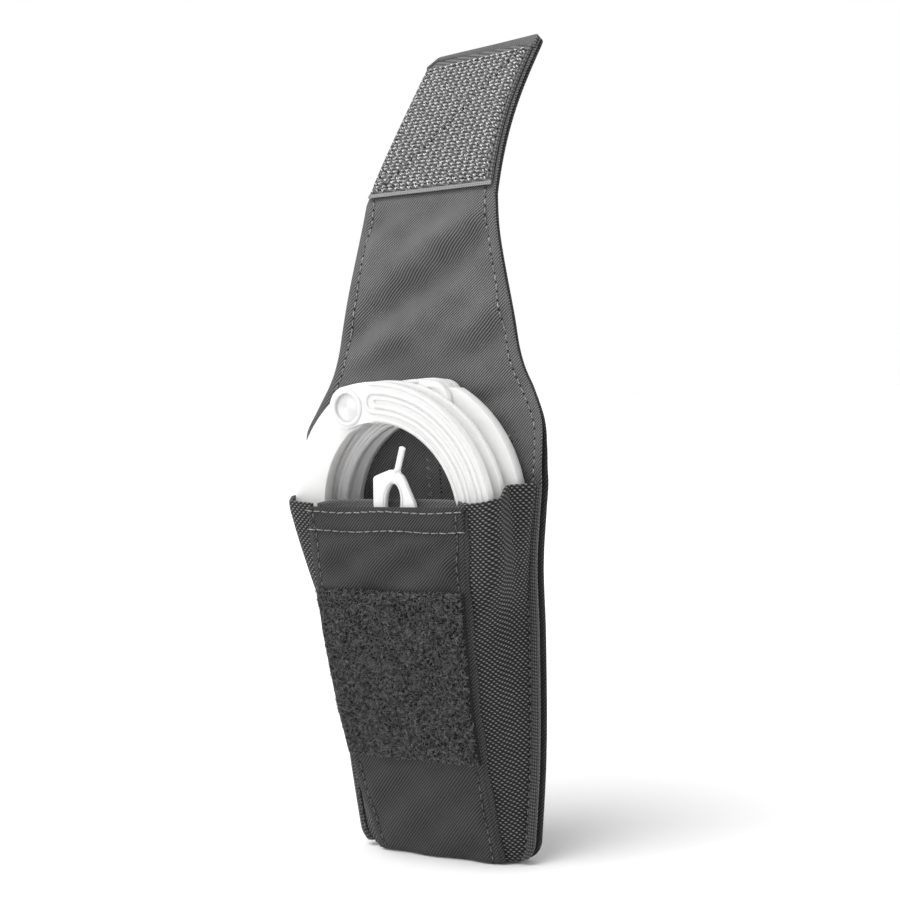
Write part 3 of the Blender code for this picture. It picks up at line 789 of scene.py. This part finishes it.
def make_front():
    us = np.concatenate([np.linspace(-100, -88, 10), np.linspace(-85, 85, 36), np.linspace(88, 100, 10)])
    vs = np.concatenate([[0.3, 0.8, 1.4], np.arange(2.5, HEIGHT - 2, 1.2),
                         [HEIGHT - 0.9, HEIGHT - 0.4, HEIGHT]])

    def panel(u, v):
        x = u / 100 * front_half(v)
        groove = 0.28 * math.exp(-((front_half(v) - abs(x) - SIDE_SEAM) / 0.6) ** 2)
        groove += 0.2 * math.exp(-((HEIGHT - HEM_SEAMS[0] - v) / 0.5) ** 2)
        groove += 0.3 * math.exp(-((HEIGHT - HEM_SEAMS[1] - v) / 0.6) ** 2)
        return front_surface(x, v, -groove)
    piece = cloth("front_panel_cloth", panel, us, vs, 1.0, SHELL,
                  lambda u, v: (u / 100 * front_half(v), v), 1.2)
    finish_piece(piece, "pouch", "shell_fabric", "front_panel")
    flat_area(front_half, 0, HEIGHT, 111.0, 80)
    for side, word in ((-1, "left"), (1, "right")):
        def fold(u, v):
            width = 1.1 + 0.25 * wave(0, v, 0, 19, 1.0)
            x = side * (front_half(v) - 0.9 + (u + 1) / 2 * (width + 0.9))
            return Vector((x, -front_depth(v) + 1.0 + 0.25 * (u + 1), v))
        strip = cloth(f"front_panel_fold_{word}", fold, np.linspace(-1, 1, 8) * side,
                      np.arange(0.4, HEIGHT - 0.8, 1.4), 0.9, SHELL, round_edge=0.5)
        finish_piece(strip, "pouch", "shell_fabric")
    hem_lines = []
    for down in HEM_SEAMS:
        line = []
        for u in np.linspace(-97, 97, 60):
            z = HEIGHT - down + 0.25 * math.sin(u / 17.0 + down)
            line.append(front_surface(u / 100 * front_half(z), z, 0.4))
        hem_lines.append(line)
    sew("hem_stitches", hem_lines, THREAD, "pouch", "shell_fabric", length=2.7, pitch=3.0, radius=0.18,
        holes=False)
    sides = []
    for side in (-1, 1):
        for first, last in ((2, PATCH_LOW - 1), (PATCH_HIGH + 1, HEIGHT - 1)):
            sides.append([front_surface(side * (front_half(z) - SIDE_SEAM), z, 0.35)
                          for z in np.arange(first, last, 1.5)])
    sew("front_side_stitches", sides, DULL_THREAD, "pouch", "shell_fabric", length=2.0, pitch=3.0,
        radius=0.22)

    def backing(u, v):
        x = u / 100 * (27.9 - 2.7 * smooth(110, 76, v))
        sag = 0.5 * wave(x, v, 10, 31, 0.5) * smooth(0, 8, 26.8 - abs(x))
        mouth = smooth(100, 110, v)
        y = -19.0 + 1.6 * mouth * (1 - (u / 100) ** 4) + 0.3 * sag
        return Vector((x, y, v + 0.2 * sag - 1.2 * mouth * (u / 100) ** 6))
    vs = np.concatenate([np.arange(76, BACKING_TOP - 1, 1.5),
                         [BACKING_TOP - 0.8, BACKING_TOP - 0.35, BACKING_TOP]])
    pocket = cloth("key_pocket_cloth", backing, us, vs, 0.9, LINING, lambda u, v: (u / 100 * 26, v), 1.0)
    finish_piece(pocket, "pouch", "lining_fabric", "key_pocket_backing")


def make_loop_patch():
    us = np.concatenate([[-100, -99, -97], np.linspace(-95, 95, 60), [97, 99, 100]])
    vs = np.concatenate([[PATCH_LOW, PATCH_LOW + 0.5], np.arange(PATCH_LOW + 1, PATCH_HIGH - 1, 1.0),
                         [PATCH_HIGH - 0.5, PATCH_HIGH]])
    bumps = [(RANDOM.uniform(-30, 30), RANDOM.uniform(PATCH_LOW, PATCH_HIGH), RANDOM.uniform(1.2, 3.4),
              RANDOM.uniform(-0.4, 0.42)) for _ in range(420)]
    at_x, at_z, wide, tall_by = np.array(bumps).T

    def tuft(x, z):
        """How far the pile stands up or lies down at a point."""
        near = np.exp(-((at_x - x) ** 2 + (at_z - z) ** 2) / wide**2)
        return float(np.clip((near * tall_by).sum(), -0.5, 0.6))

    def ground(u, v):
        x = u / 100 * (front_half(v) - 0.15)
        edge = smooth(0, 2.2, min(v - PATCH_LOW, PATCH_HIGH - v, front_half(v) - abs(x)))
        return front_surface(x, v, 1.15 + (tuft(x, v) + 0.25) * edge)
    base = cloth("loop_patch_ground", ground, us, vs, 1.2, PILE_BASE, lambda u, v: (u / 100 * 26, v), 0.8)
    finish_piece(base, "pouch", "loop_pile", "loop_patch")
    flat_area(front_half, PATCH_LOW, PATCH_HIGH, 52.0, 40)
    shapes = []
    for _ in range(13000):
        v = RANDOM.uniform(PATCH_LOW + 0.2, PATCH_HIGH - 0.2)
        x = RANDOM.uniform(-1, 1) * (front_half(v) - 0.8)
        edge = smooth(0, 2.0, min(v - PATCH_LOW, PATCH_HIGH - v, front_half(v) - abs(x)))
        lift = 1.65 + (tuft(x, v) + 0.2) * edge
        turn = RANDOM.uniform(0, 2 * math.pi)
        span = RANDOM.uniform(0.6, 1.3)
        tall = RANDOM.uniform(0.3, 1.0) * (0.35 + 0.65 * edge)
        step = Vector((math.cos(turn), 0, math.sin(turn))) * span
        twist = Vector((-math.sin(turn), 0, math.cos(turn))) * RANDOM.uniform(-0.7, 0.7)
        pts = []
        for t, up in ((-1, -0.2), (-0.7, 0.6), (0, 1.0), (0.7, 0.6), (1, -0.2)):
            spot = front_surface(x, v, lift + up * tall)
            pts.append(spot + step * t * 0.7 + twist * (1 - t * t))
        shapes.append(tube(pts, RANDOM.uniform(0.08, 0.13), 3, 1.0))
    finish_piece(gather("loop_patch_pile", shapes, PILE, sharp=180), "pouch", "loop_pile")
    lines = [[front_surface(u / 100 * front_half(z), z, 1.2) for u in np.linspace(-97, 97, 40)]
             for z in (PATCH_HIGH - 0.5, PATCH_LOW + 0.5)]
    sew("loop_patch_stitches", lines, DULL_THREAD, "pouch", "loop_pile", length=2.1, pitch=2.9, radius=0.22,
        lift=0.25)


# ------------------------------------------------------------------ elastic sides, bindings, bottom
def gusset_point(side, bulge, t, v):
    """t runs from the front panel's edge to the back's edge, v is the height at the back."""
    top = HEIGHT + 0.9 + 1.2 * smooth(0, 0.3, t) + (3.2 if side > 0 else 0.4) * smooth(0.36, 0.66, t)
    z = v * top / HEIGHT
    front = Vector((front_half(z) - 0.8, -front_depth(z) + 2.0))
    back = Vector((back_half(max(z, 1.0)) - 1.7, -1.0 + curl(back_half(z), z) * 0.7))
    straight = front.lerp(back, t)
    full = [front, *(Vector(point) for point in bulge), Vector((back_half(z) - 0.7, -5.4)), back]
    i = min(max(int(t * 6), 0), 5)
    s = t * 6 - i
    before, after = full[max(i - 1, 0)], full[min(i + 2, 6)]
    h1 = (full[i + 1] - before) / 2
    h2 = (after - full[i]) / 2
    round_point = ((2 * s**3 - 3 * s**2 + 1) * full[i] + (s**3 - 2 * s**2 + s) * h1
                   + (-2 * s**3 + 3 * s**2) * full[i + 1] + (s**3 - s**2) * h2)
    full_share = smooth(70, 94, z) if side > 0 else min(max((z - 72) / 36, 0.0), 1.0)
    point = straight.lerp(round_point, full_share)
    slack = math.sin(math.pi * t) * (0.9 + 0.35 * math.sin(z / 9.0)) * smooth(0, 12, z) * (1 - full_share)
    return Vector((side * (point.x + slack * 0.5), point.y, z))


def make_sides():
    bulges = {"right": [(34.7, -20.6), (36.5, -17.6), (36.2, -14.0), (35.9, -10.0)],
              "left": [(36.4, -20.6), (38.2, -17.6), (40.6, -15.2), (40.9, -10.0)]}
    for side, word in ((1, "right"), (-1, "left")):
        bulge = bulges[word]
        ts = np.linspace(0, 1, 34) if side > 0 else np.linspace(-1, 0, 34)
        vs = np.concatenate([[0.4, 1.0], np.arange(2, HEIGHT - 1.5, 1.5),
                             [HEIGHT - 0.9, HEIGHT - 0.4, HEIGHT]])
        stations = np.linspace(0, 1, 41)
        spread = {v: run_along([gusset_point(side, bulge, t, v) for t in stations]) for v in vs}

        def tile(t, v):
            """The weave runs evenly along the elastic, whatever curve it takes."""
            return (float(np.interp(side * t, stations, spread[v])), v)
        piece = cloth(f"gusset_{word}_elastic", lambda t, v: gusset_point(side, bulge, side * t, v),
                      ts, vs, 1.15, ELASTIC, tile, 0.04)
        finish_piece(piece, "pouch", "elastic_webbing", "gusset_" + word)
        widths = [float(run_along([gusset_point(side, bulge, t, v) for t in np.linspace(0, 1, 40)])[-1])
                  for v in np.linspace(0.4, HEIGHT, 30)]

        def tape(t, v):
            """A tape folded round: t runs round its section."""
            a = t * 2 * math.pi
            x = back_half(v) - 0.5 + 1.3 * math.cos(a)
            return Vector((side * x, -1.35 + 0.9 * curl(back_half(v), v) + 1.25 * math.sin(a), v))
        rounds = np.linspace(0, 1, 19)[:-1]
        heights = np.concatenate([[1.6, 2.2, 3.0, 4.0], np.arange(5, 113.5, 1.2)])
        verts = [tape(t, v) for v in heights for t in rounds]
        faces = ring_faces(len(heights), len(rounds), side)
        uv = [(t * 7.2, v) for v in heights for t in rounds]
        binding = new_object(f"edge_binding_{word}_tape", verts, faces, BINDING, uv=uv, sharp=70)
        finish_piece(binding, "pouch", "binding_tape", "edge_binding_" + word)
        seam = [[Vector((side * (back_half(z) - 1.5), -2.45 + 0.9 * curl(back_half(z), z), z))
                 for z in np.arange(6, 112, 1.5)]]
        sew(f"binding_{word}_stitches", seam, DULL_THREAD, "pouch", "binding_tape", length=1.9, pitch=2.6,
            radius=0.2, lift=0.05)

    def floor(u, v):
        return Vector((u * 20.8, -DEPTH_BOTTOM + 1.1 + v * 3.3, 0.75 + 0.35 * math.sin(v * math.pi)))
    bottom = cloth("bottom_cloth", floor, np.linspace(-1, 1, 24), np.linspace(0, 1, 6), 0.8, SHELL,
                   lambda u, v: (u * 20.8, v * 3.3), 0.04)
    finish_piece(bottom, "pouch", "shell_fabric", "bottom_panel")


# ------------------------------------------------------------------ belt loop on the back
def make_belt_loop():
    inner_low, inner_high = low("belt_loop_strap") - ORIGIN, high("belt_loop_strap") - ORIGIN
    half, top, bottom = inner_high.x, inner_high.z, inner_low.z
    pressed, outer = inner_low.y, inner_high.y - 1.2

    def strap(lift):
        def surface(u, v):
            y = pressed + (outer - pressed) * smooth(32, 50, v)
            puff = 0.35 * math.sin(math.pi * (v - bottom) / (top - bottom)) * (1 - (u / 100) ** 2)
            return Vector((u / 100 * half, y + lift + puff, v))
        return surface
    us = np.concatenate([np.linspace(-100, -90, 8), np.linspace(-86, 86, 22), np.linspace(90, 100, 8)])
    vs = np.concatenate([[bottom, bottom + 0.4, bottom + 0.9], np.arange(bottom + 2, top - 1.2, 1.6),
                         [top - 0.9, top - 0.4, top]])
    for name, lift, material, slot in (("belt_loop_strap", 0.6, BINDING, "binding_tape"),
                                       ("belt_loop_cover", 2.1, SHELL, "shell_fabric")):
        piece = cloth(name + "_cloth", strap(lift), us, vs, 1.2, material,
                      lambda u, v: (u / 100 * 28, v), 1.2)
        finish_piece(piece, "belt_loop", slot, name)
    face = strap(2.75)
    lines = [[face(u, v) for v in np.arange(bottom + 3, top - 2, 1.5)] for u in (-90, 90)]
    lines += [[face(u, v) for u in np.linspace(-88, 88, 40)] for v in (bottom + 3, top - 3)]
    sew("belt_loop_stitches", lines, DARK_THREAD, "belt_loop", "shell_fabric", out=(0, 1, 0), radius=0.24,
        lift=0.05)
    seam_low, seam_high = low("belt_loop_top_seam") - ORIGIN, high("belt_loop_top_seam") - ORIGIN
    depth = (seam_high.y - seam_low.y) / 2
    middle = (seam_high.z + seam_low.z) / 2

    def squared_off(value, power):
        return math.copysign(abs(value) ** power, value)
    section = []
    for k in range(28):
        a = 2 * math.pi * k / 28
        section.append((squared_off(math.cos(a), 0.45), squared_off(math.sin(a), 0.6)))
    stations = np.concatenate([[-1, -0.995], np.linspace(-0.985, 0.985, 26), [0.995, 1]])
    verts = []
    for u in stations:
        shrink = 0.9 if abs(u) > 0.999 else 1.0
        for a, b in section:
            verts.append(Vector((u * half, (seam_low.y + seam_high.y) / 2 + a * depth * shrink,
                                 middle + b * (3.9 + 0.12 * math.sin(u * 19)) * shrink)))
    faces = ring_faces(len(stations), len(section))
    uv = [(u * half, b * 6) for u in stations for a, b in section]
    piece = new_object("belt_loop_top_seam_roll", verts, faces, SHELL, uv=uv, sharp=70)
    finish_piece(piece, "pouch", "shell_fabric", "belt_loop_top_seam")
    rows = [[Vector((x, seam_high.y + 0.02, middle + dz)) for x in np.linspace(-26, 26, 40)]
            for dz in (-1.6, 1.6)]
    sew("belt_loop_seam_stitches", rows, DARK_THREAD, "pouch", "shell_fabric", out=(0, 1, 0), radius=0.24,
        lift=0.0)


# ------------------------------------------------------------------ cuffs and key
def arc(centre, radius, start, end, steps):
    turns = np.radians(np.linspace(start, end, steps + 1))
    return [(centre[0] + radius * math.cos(t), centre[1] + radius * math.sin(t)) for t in turns]


def spot(centre, radius, turn):
    """The point at a radius from a centre, turned by so many degrees."""
    return arc(centre, radius, turn, turn, 1)[0]


def circle(centre, radius, steps):
    return arc(centre, radius, 0, 360, steps)[:-1]


def flipped(points, flip):
    """The points of the front cuff, or their mirror image for the rear cuff."""
    return [(2 * MIRROR_X - x, z) for x, z in points] if flip else list(points)


def slab(name, outline, near, far, bevel, material, holes=()):
    """A flat moulding with rounded edges, from an outline in the XZ plane."""
    data = bpy.data.curves.new(name, "CURVE")
    data.dimensions = "2D"
    data.fill_mode = "BOTH"
    data.extrude = (far - near) / 2
    for loop in (outline, *holes):
        spline = data.splines.new("POLY")
        spline.points.add(len(loop) - 1)
        for point, (x, z) in zip(spline.points, loop):
            point.co = (x, z, 0, 1)
        spline.use_cyclic_u = True
    guide = add_to_scene(name, data)
    mesh = bpy.data.meshes.new_from_object(guide.evaluated_get(bpy.context.evaluated_depsgraph_get()))
    bpy.data.objects.remove(guide)
    shape = bmesh.new()
    shape.from_mesh(mesh)
    bmesh.ops.remove_doubles(shape, verts=shape.verts, dist=1e-4)
    bmesh.ops.recalc_face_normals(shape, faces=shape.faces)
    rims = [e for e in shape.edges if len(e.link_faces) == 2 and e.calc_face_angle() > math.radians(55)
            and abs(e.verts[0].co.z - e.verts[1].co.z) < 1e-3]
    bmesh.ops.bevel(shape, geom=rims, offset=bevel, segments=3, profile=0.5, affect="EDGES",
                    clamp_overlap=True)
    stand = Matrix(((1, 0, 0, 0), (0, 0, -1, (near + far) / 2), (0, 1, 0, 0), (0, 0, 0, 1)))
    shape.transform(Matrix.Scale(MM, 4) @ Matrix.Translation(ORIGIN) @ stand)
    shape.to_mesh(mesh)
    shape.free()
    mesh.materials.clear()
    mesh.materials.append(material)
    mesh.shade_smooth()
    mesh.set_sharp_from_angle(angle=math.radians(32))
    return add_to_scene(name, mesh)


def turned(name, profile, centre, material, steps=56):
    """A solid of revolution about a Y axis: profile is (radius, y) from the axis round to the axis."""
    verts, faces = [], []
    n = len(profile)
    for j in range(steps):
        a = 2 * math.pi * j / steps
        for r, y in profile:
            verts.append((centre[0] + r * math.cos(a), y, centre[1] + r * math.sin(a)))
    for j in range(steps):
        k = (j + 1) % steps
        for i in range(n):
            m = (i + 1) % n
            faces.append((j * n + i, j * n + m, k * n + m, k * n + i))
    made = new_object(name, verts, faces, material, sharp=35)
    shape = bmesh.new()
    shape.from_mesh(made.data)
    bmesh.ops.remove_doubles(shape, verts=shape.verts, dist=1e-7)
    bmesh.ops.recalc_face_normals(shape, faces=shape.faces)
    shape.to_mesh(made.data)
    shape.free()
    return made


def turn_of(centre, point):
    """The direction of a point from a centre, in degrees."""
    return math.degrees(math.atan2(point[1] - centre[1], point[0] - centre[0]))


def tail_end(pivot):
    """The turn about the rivet at which the toothed tail ends, over the lock."""
    return -math.degrees(math.acos((TAIL_TIP_X - pivot[0]) / TAIL_OUTER))


def cheek_outline(pivot):
    at = turn_of(RING, pivot)
    boss = arc(pivot, BOSS_RADIUS, at + 159, at - 10, 26)
    outer = arc(RING, RING_OUTER, at - 6.5, -52, 66)
    right, left, low_z, corner = 19.2, -20.0, 58.0, 4.0
    case = [(right, low_z + corner)] + arc((right - corner, low_z + corner), corner, 0, -90, 8)
    case += arc((left + corner, low_z + corner), corner, -90, -180, 8) + [(left, 76.5)]
    inner = arc(RING, RING_INNER, -118, at - 8.5, 90)
    return boss + outer + case + inner


def strand_outline(pivot):
    at = turn_of(STRAND, pivot)
    boss = arc(pivot, BOSS_RADIUS, at - 190, at + 30, 34)
    outer = arc(STRAND, STRAND_OUTER, at + 9, 232, 44)
    last = tail_end(pivot)
    teeth = []
    for i in range(TOOTH_COUNT):
        turn = last - TAIL_SWEEP + TAIL_SWEEP * i / TOOTH_COUNT
        teeth += [spot(pivot, TAIL_OUTER, turn), spot(pivot, TAIL_OUTER - TOOTH_DEPTH, turn + 0.6)]
    tail = [spot(pivot, TAIL_OUTER, last)] + arc(pivot, TAIL_INNER, last, last - 18, 8)
    inner = arc(STRAND, STRAND_INNER, 235, at + 9, 50)
    return boss + outer + teeth + tail + inner


def ring_rib(radius_out, radius_in, start, end):
    """A pill-shaped line round the ring, between two radii, ending in half circles."""
    centre = spot(RING, (radius_out + radius_in) / 2, start)
    path = arc(RING, radius_out, end, start, 70)
    path += arc(centre, (radius_out - radius_in) / 2, start, start + 180, 16)[1:-1]
    return path + arc(RING, radius_in, start, end, 64)


def make_ribs(name, side, face, flip):
    """Two nested pill-shaped ribs that follow a cheek's arc, and a bead along each of its edges."""
    shapes = []
    for radius_out, radius_in, start, thick in ((37.6, 31.6, 88.5, 0.7), (35.8, 33.4, 87.0, 0.62)):
        line = flipped(ring_rib(radius_out, radius_in, start, RIB_END), flip)
        shapes.append(tube([Vector((x, face, z)) for x, z in line], thick, 12, 0.8, (0, side, 0)))
    for radius, start in ((39.9, 92), (29.35, 90)):
        line = flipped(arc(RING, radius, start, RIB_END, 70), flip)
        shapes.append(tube([Vector((x, face, z)) for x, z in line], 0.55, 10, 0.8, (0, side, 0)))
    finish_piece(gather(name, shapes, POLYMER, sharp=60), "cuffs", "white_polymer")


def make_cuff(word, front, flip, rivet_at):
    near = front + CHEEK + GAP
    far = near + STRAND_THICK
    pivot = flipped([rivet_at], flip)[0]
    pin = spot(rivet_at, PAWL_PIN_RADIUS, tail_end(rivet_at) - PAWL_PIN_BEFORE_TIP)
    pin, keyhole = flipped([pin, KEYHOLE], flip)
    bores = [circle(pivot, CHEEK_BORE, 40), circle(pin, PIN_BORE, 16)]
    depths = ((front, front + CHEEK, "front"), (far + GAP, far + GAP + CHEEK, "back"))
    for start, end, which in depths:
        name = f"{word}_cuff_{which}_cheek"
        outer_side = which == ("back" if flip else "front")
        holes = bores + [circle(keyhole, KEYHOLE_RADIUS, 16)] if outer_side else bores
        piece = slab(name + "_moulding", flipped(cheek_outline(rivet_at), flip), start, end, 0.42, POLYMER,
                     holes)
        finish_piece(piece, "cuffs", "white_polymer", name)
        outward = -1 if which == "front" else 1
        face = start if outward < 0 else end
        make_ribs(f"{name}_ribs", outward, face, flip)
        rise = 0.5 * outward
        collar = [(4.35, face - 0.3 * outward), (4.35, face + rise * 0.7), (4.6, face + rise),
                  (5.0, face + rise), (5.5, face + rise * 0.5), (5.7, face - 0.4 * outward)]
        if outer_side:
            finish_piece(turned(f"{name}_collar", collar, pivot, POLYMER), "cuffs", "white_polymer")
    piece = slab(f"{word}_cuff_strand_moulding", flipped(strand_outline(rivet_at), flip), near, far, 0.5,
                 STRAND_WHITE, [circle(pivot, STRAND_BORE, 40)])
    finish_piece(piece, f"{word}_strand", "white_polymer", f"{word}_cuff_strand")
    centre = Vector((pivot[0], 0, pivot[1])) + ORIGIN
    disc_front, disc_back = front + (0.1 if flip else 0.45), far + GAP + CHEEK - (0.45 if flip else 0.1)
    disc = [(0.0, disc_front - 0.12), (2.2, disc_front - 0.05), (3.7, disc_front + 0.03),
            (RIVET_RADIUS, disc_front + 0.25), (RIVET_RADIUS, disc_back - 0.25), (3.7, disc_back),
            (0.0, disc_back)]
    piece = turned(f"{word}_cuff_rivet_head", disc, pivot, spun(f"{word}_rivet_face", centre, 0.60, 0.82))
    finish_piece(piece, "cuffs", "rivet_polymer", f"{word}_cuff_rivet")


def make_key():
    near, far = (low("key") - ORIGIN).y, (high("key") - ORIGIN).y
    middle = (near + far) / 2
    bow = [(-2.6, 89.5), (8.6, 89.5), (11.0, 100.0), (9.9, 109.3), (6.9, 115.9), (6.1, 117.3), (5.2, 118.1),
           (2.4, 119.1), (1.6, 119.2), (-3.5, 117.5), (-4.1, 117.2), (-4.4, 116.5), (-4.8, 109.2),
           (-4.4, 100.0)]
    lean = math.radians(-8)
    hole_x, hole_z, half_wide, half_tall = 2.3, 109.6, 2.75, 5.6

    def oval(grow, steps):
        points = []
        for x, z in circle((0, 0), 1.0, steps):
            x, z = (half_wide + grow) * x, (half_tall + grow) * z
            points.append((hole_x + x * math.cos(lean) - z * math.sin(lean),
                           hole_z + x * math.sin(lean) + z * math.cos(lean)))
        return points
    piece = slab("key_moulding", bow, near, far, 0.32, KEY_WHITE, [oval(0, 40)])
    finish_piece(piece, "key", "key_polymer", "key")
    rim = oval(0.75, 40)
    rim_line = [Vector((x, near + 0.05, z)) for x, z in rim + rim[:1]]
    finish_piece(gather("key_hole_rim", [tube(rim_line, 0.34, 8, 0.8)], KEY_WHITE, 60), "key", "key_polymer")
    foot, end = Vector((3.95, middle, 118.4)), Vector((6.3, middle, 125.2))
    along = (end - foot).normalized()
    base = [foot + along * d for d in (-0.9, -0.3, 0.7, 0.9)]
    finish_piece(gather("key_pin_foot", [tube(base, 1.45, 4, 0.8)], KEY_WHITE, 30), "key", "key_polymer")
    stem = [foot.lerp(end, t) for t in np.linspace(0, 1, 8)] + [end + along * 0.45, end + along * 0.7]
    finish_piece(gather("key_pin", [tube(stem, 1.0, 14, 0.85)], KEY_WHITE, 60), "key", "key_polymer")


def dress_kept_nodes():
    """The CAD nodes whose shape is right get their finish and rounded edges."""
    looks = {"back_stiffener": STIFFENER, "hinge_leaf": POLYMER}
    for side in ("front", "rear"):
        looks[f"{side}_cuff_lock_frame"] = POLYMER
        looks[f"{side}_cuff_pawl"] = STEEL
        looks[f"{side}_cuff_pawl_pin"] = STEEL
        looks[f"{side}_hinge_pin"] = STEEL
    for side in ("left", "right"):
        looks[f"snap_stud_{side}"] = SNAP
        looks[f"snap_cap_{side}"] = SNAP
    for name, material in looks.items():
        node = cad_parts[name]
        node.data.materials.clear()
        node.data.materials.append(material)
        edge = node.modifiers.new("rounded edges", "BEVEL")
        edge.width = (0.35 if "snap" in name else 0.15) * MM
        edge.segments = 3
        edge.limit_method = "ANGLE"
        edge.angle_limit = math.radians(40)


# ------------------------------------------------------------------ stage, light, camera
SUN_FROM, SUN_ENERGY, SUN_ANGLE = Vector((-0.18, -0.6, 1.3)), 2.3, 42
FILL_AT, FILL_SIZE, FILL_ENERGY = Vector((-0.75, -0.75, 0.35)), 0.5, 1.5
FILL_TOWARDS = Vector((0, 0, 0.03))
SKY_HORIZON, SKY_HIGH, SKY_HIGH_STRENGTH = 0.28, 0.65, 0.6
CAMERA_AZIMUTH, CAMERA_ELEVATION, CAMERA_ROLL = 35.0, 3.6, -3.2
CAMERA_TARGET, CAMERA_DISTANCE, CAMERA_LENS = (8.7, 0, 123.2), 0.582, 77.96


def point_along(light, direction):
    light.rotation_euler = direction.to_track_quat("-Z", "Y").to_euler()


def make_stage():
    bpy.ops.mesh.primitive_plane_add(size=6.0, location=(0, 0, (ORIGIN.z - 0.3) * MM))
    floor = bpy.context.object
    floor.name = "floor"
    paper = Shader("floor_paper")
    vector = paper.object_mm()
    paper.set(Base_Color=paper.ramp(paper.noise(vector, 90.0), [(0.3, 0.90), (0.7, 0.92)]), Roughness=0.9)
    floor.data.materials.append(paper.material)
    make_sky()
    sun = bpy.data.lights.new("key_light", "SUN")
    sun.energy = SUN_ENERGY
    sun.angle = math.radians(SUN_ANGLE)
    point_along(add_to_scene("key_light", sun), -SUN_FROM)
    panel = bpy.data.lights.new("fill_panel", "AREA")
    panel.size = FILL_SIZE
    panel.energy = FILL_ENERGY
    fill = add_to_scene("fill_panel", panel)
    fill.location = FILL_AT
    point_along(fill, FILL_TOWARDS - FILL_AT)


def make_sky():
    """A white wall all round, darker overhead, so that the cloth's folds keep their shadows."""
    world = bpy.data.worlds.new("studio")
    bpy.context.scene.world = world
    world.use_nodes = True
    nodes, links = world.node_tree.nodes, world.node_tree.links
    where = nodes.new("ShaderNodeTexCoord")
    split = nodes.new("ShaderNodeSeparateXYZ")
    links.new(where.outputs["Generated"], split.inputs[0])
    fade = nodes.new("ShaderNodeMapRange")
    fade.interpolation_type = "SMOOTHSTEP"
    fade.inputs["From Min"].default_value = SKY_HORIZON
    fade.inputs["From Max"].default_value = SKY_HIGH
    fade.inputs["To Min"].default_value = 1.0
    fade.inputs["To Max"].default_value = SKY_HIGH_STRENGTH
    links.new(split.outputs["Z"], fade.inputs["Value"])
    links.new(fade.outputs[0], nodes["Background"].inputs["Strength"])
    nodes["Background"].inputs["Color"].default_value = (1.0, 1.0, 1.0, 1.0)


def make_camera():
    """Looks from the front right, from just above, rolled a little, at the middle of the pouch."""
    azimuth, elevation, roll = (math.radians(d) for d in (CAMERA_AZIMUTH, CAMERA_ELEVATION, CAMERA_ROLL))
    back = Vector((math.sin(azimuth) * math.cos(elevation), -math.cos(azimuth) * math.cos(elevation),
                   math.sin(elevation)))
    right = Vector((math.cos(azimuth), math.sin(azimuth), 0))
    up = right.cross(-back)
    rolled_right = right * math.cos(roll) + up * math.sin(roll)
    rolled_up = up * math.cos(roll) - right * math.sin(roll)
    data = bpy.data.cameras.new("camera")
    data.sensor_width = 36.0
    data.lens = CAMERA_LENS
    camera = add_to_scene("camera", data)
    axes = Matrix((rolled_right, rolled_up, back)).transposed().to_4x4()
    camera.matrix_world = Matrix.Translation(place(*CAMERA_TARGET) + back * CAMERA_DISTANCE) @ axes
    bpy.context.scene.camera = camera
    bpy.context.scene.view_settings.view_transform = "Standard"


make_camera()
make_stage()
make_back_and_flap()
flap_seams()
make_hook_tape()
make_front()
make_loop_patch()
make_sides()
make_belt_loop()
make_cuff("front", CUFF_FRONT_Y, False, FRONT_PIVOT)
make_cuff("rear", CUFF_REAR_Y, True, REAR_PIVOT)
make_key()
dress_kept_nodes()
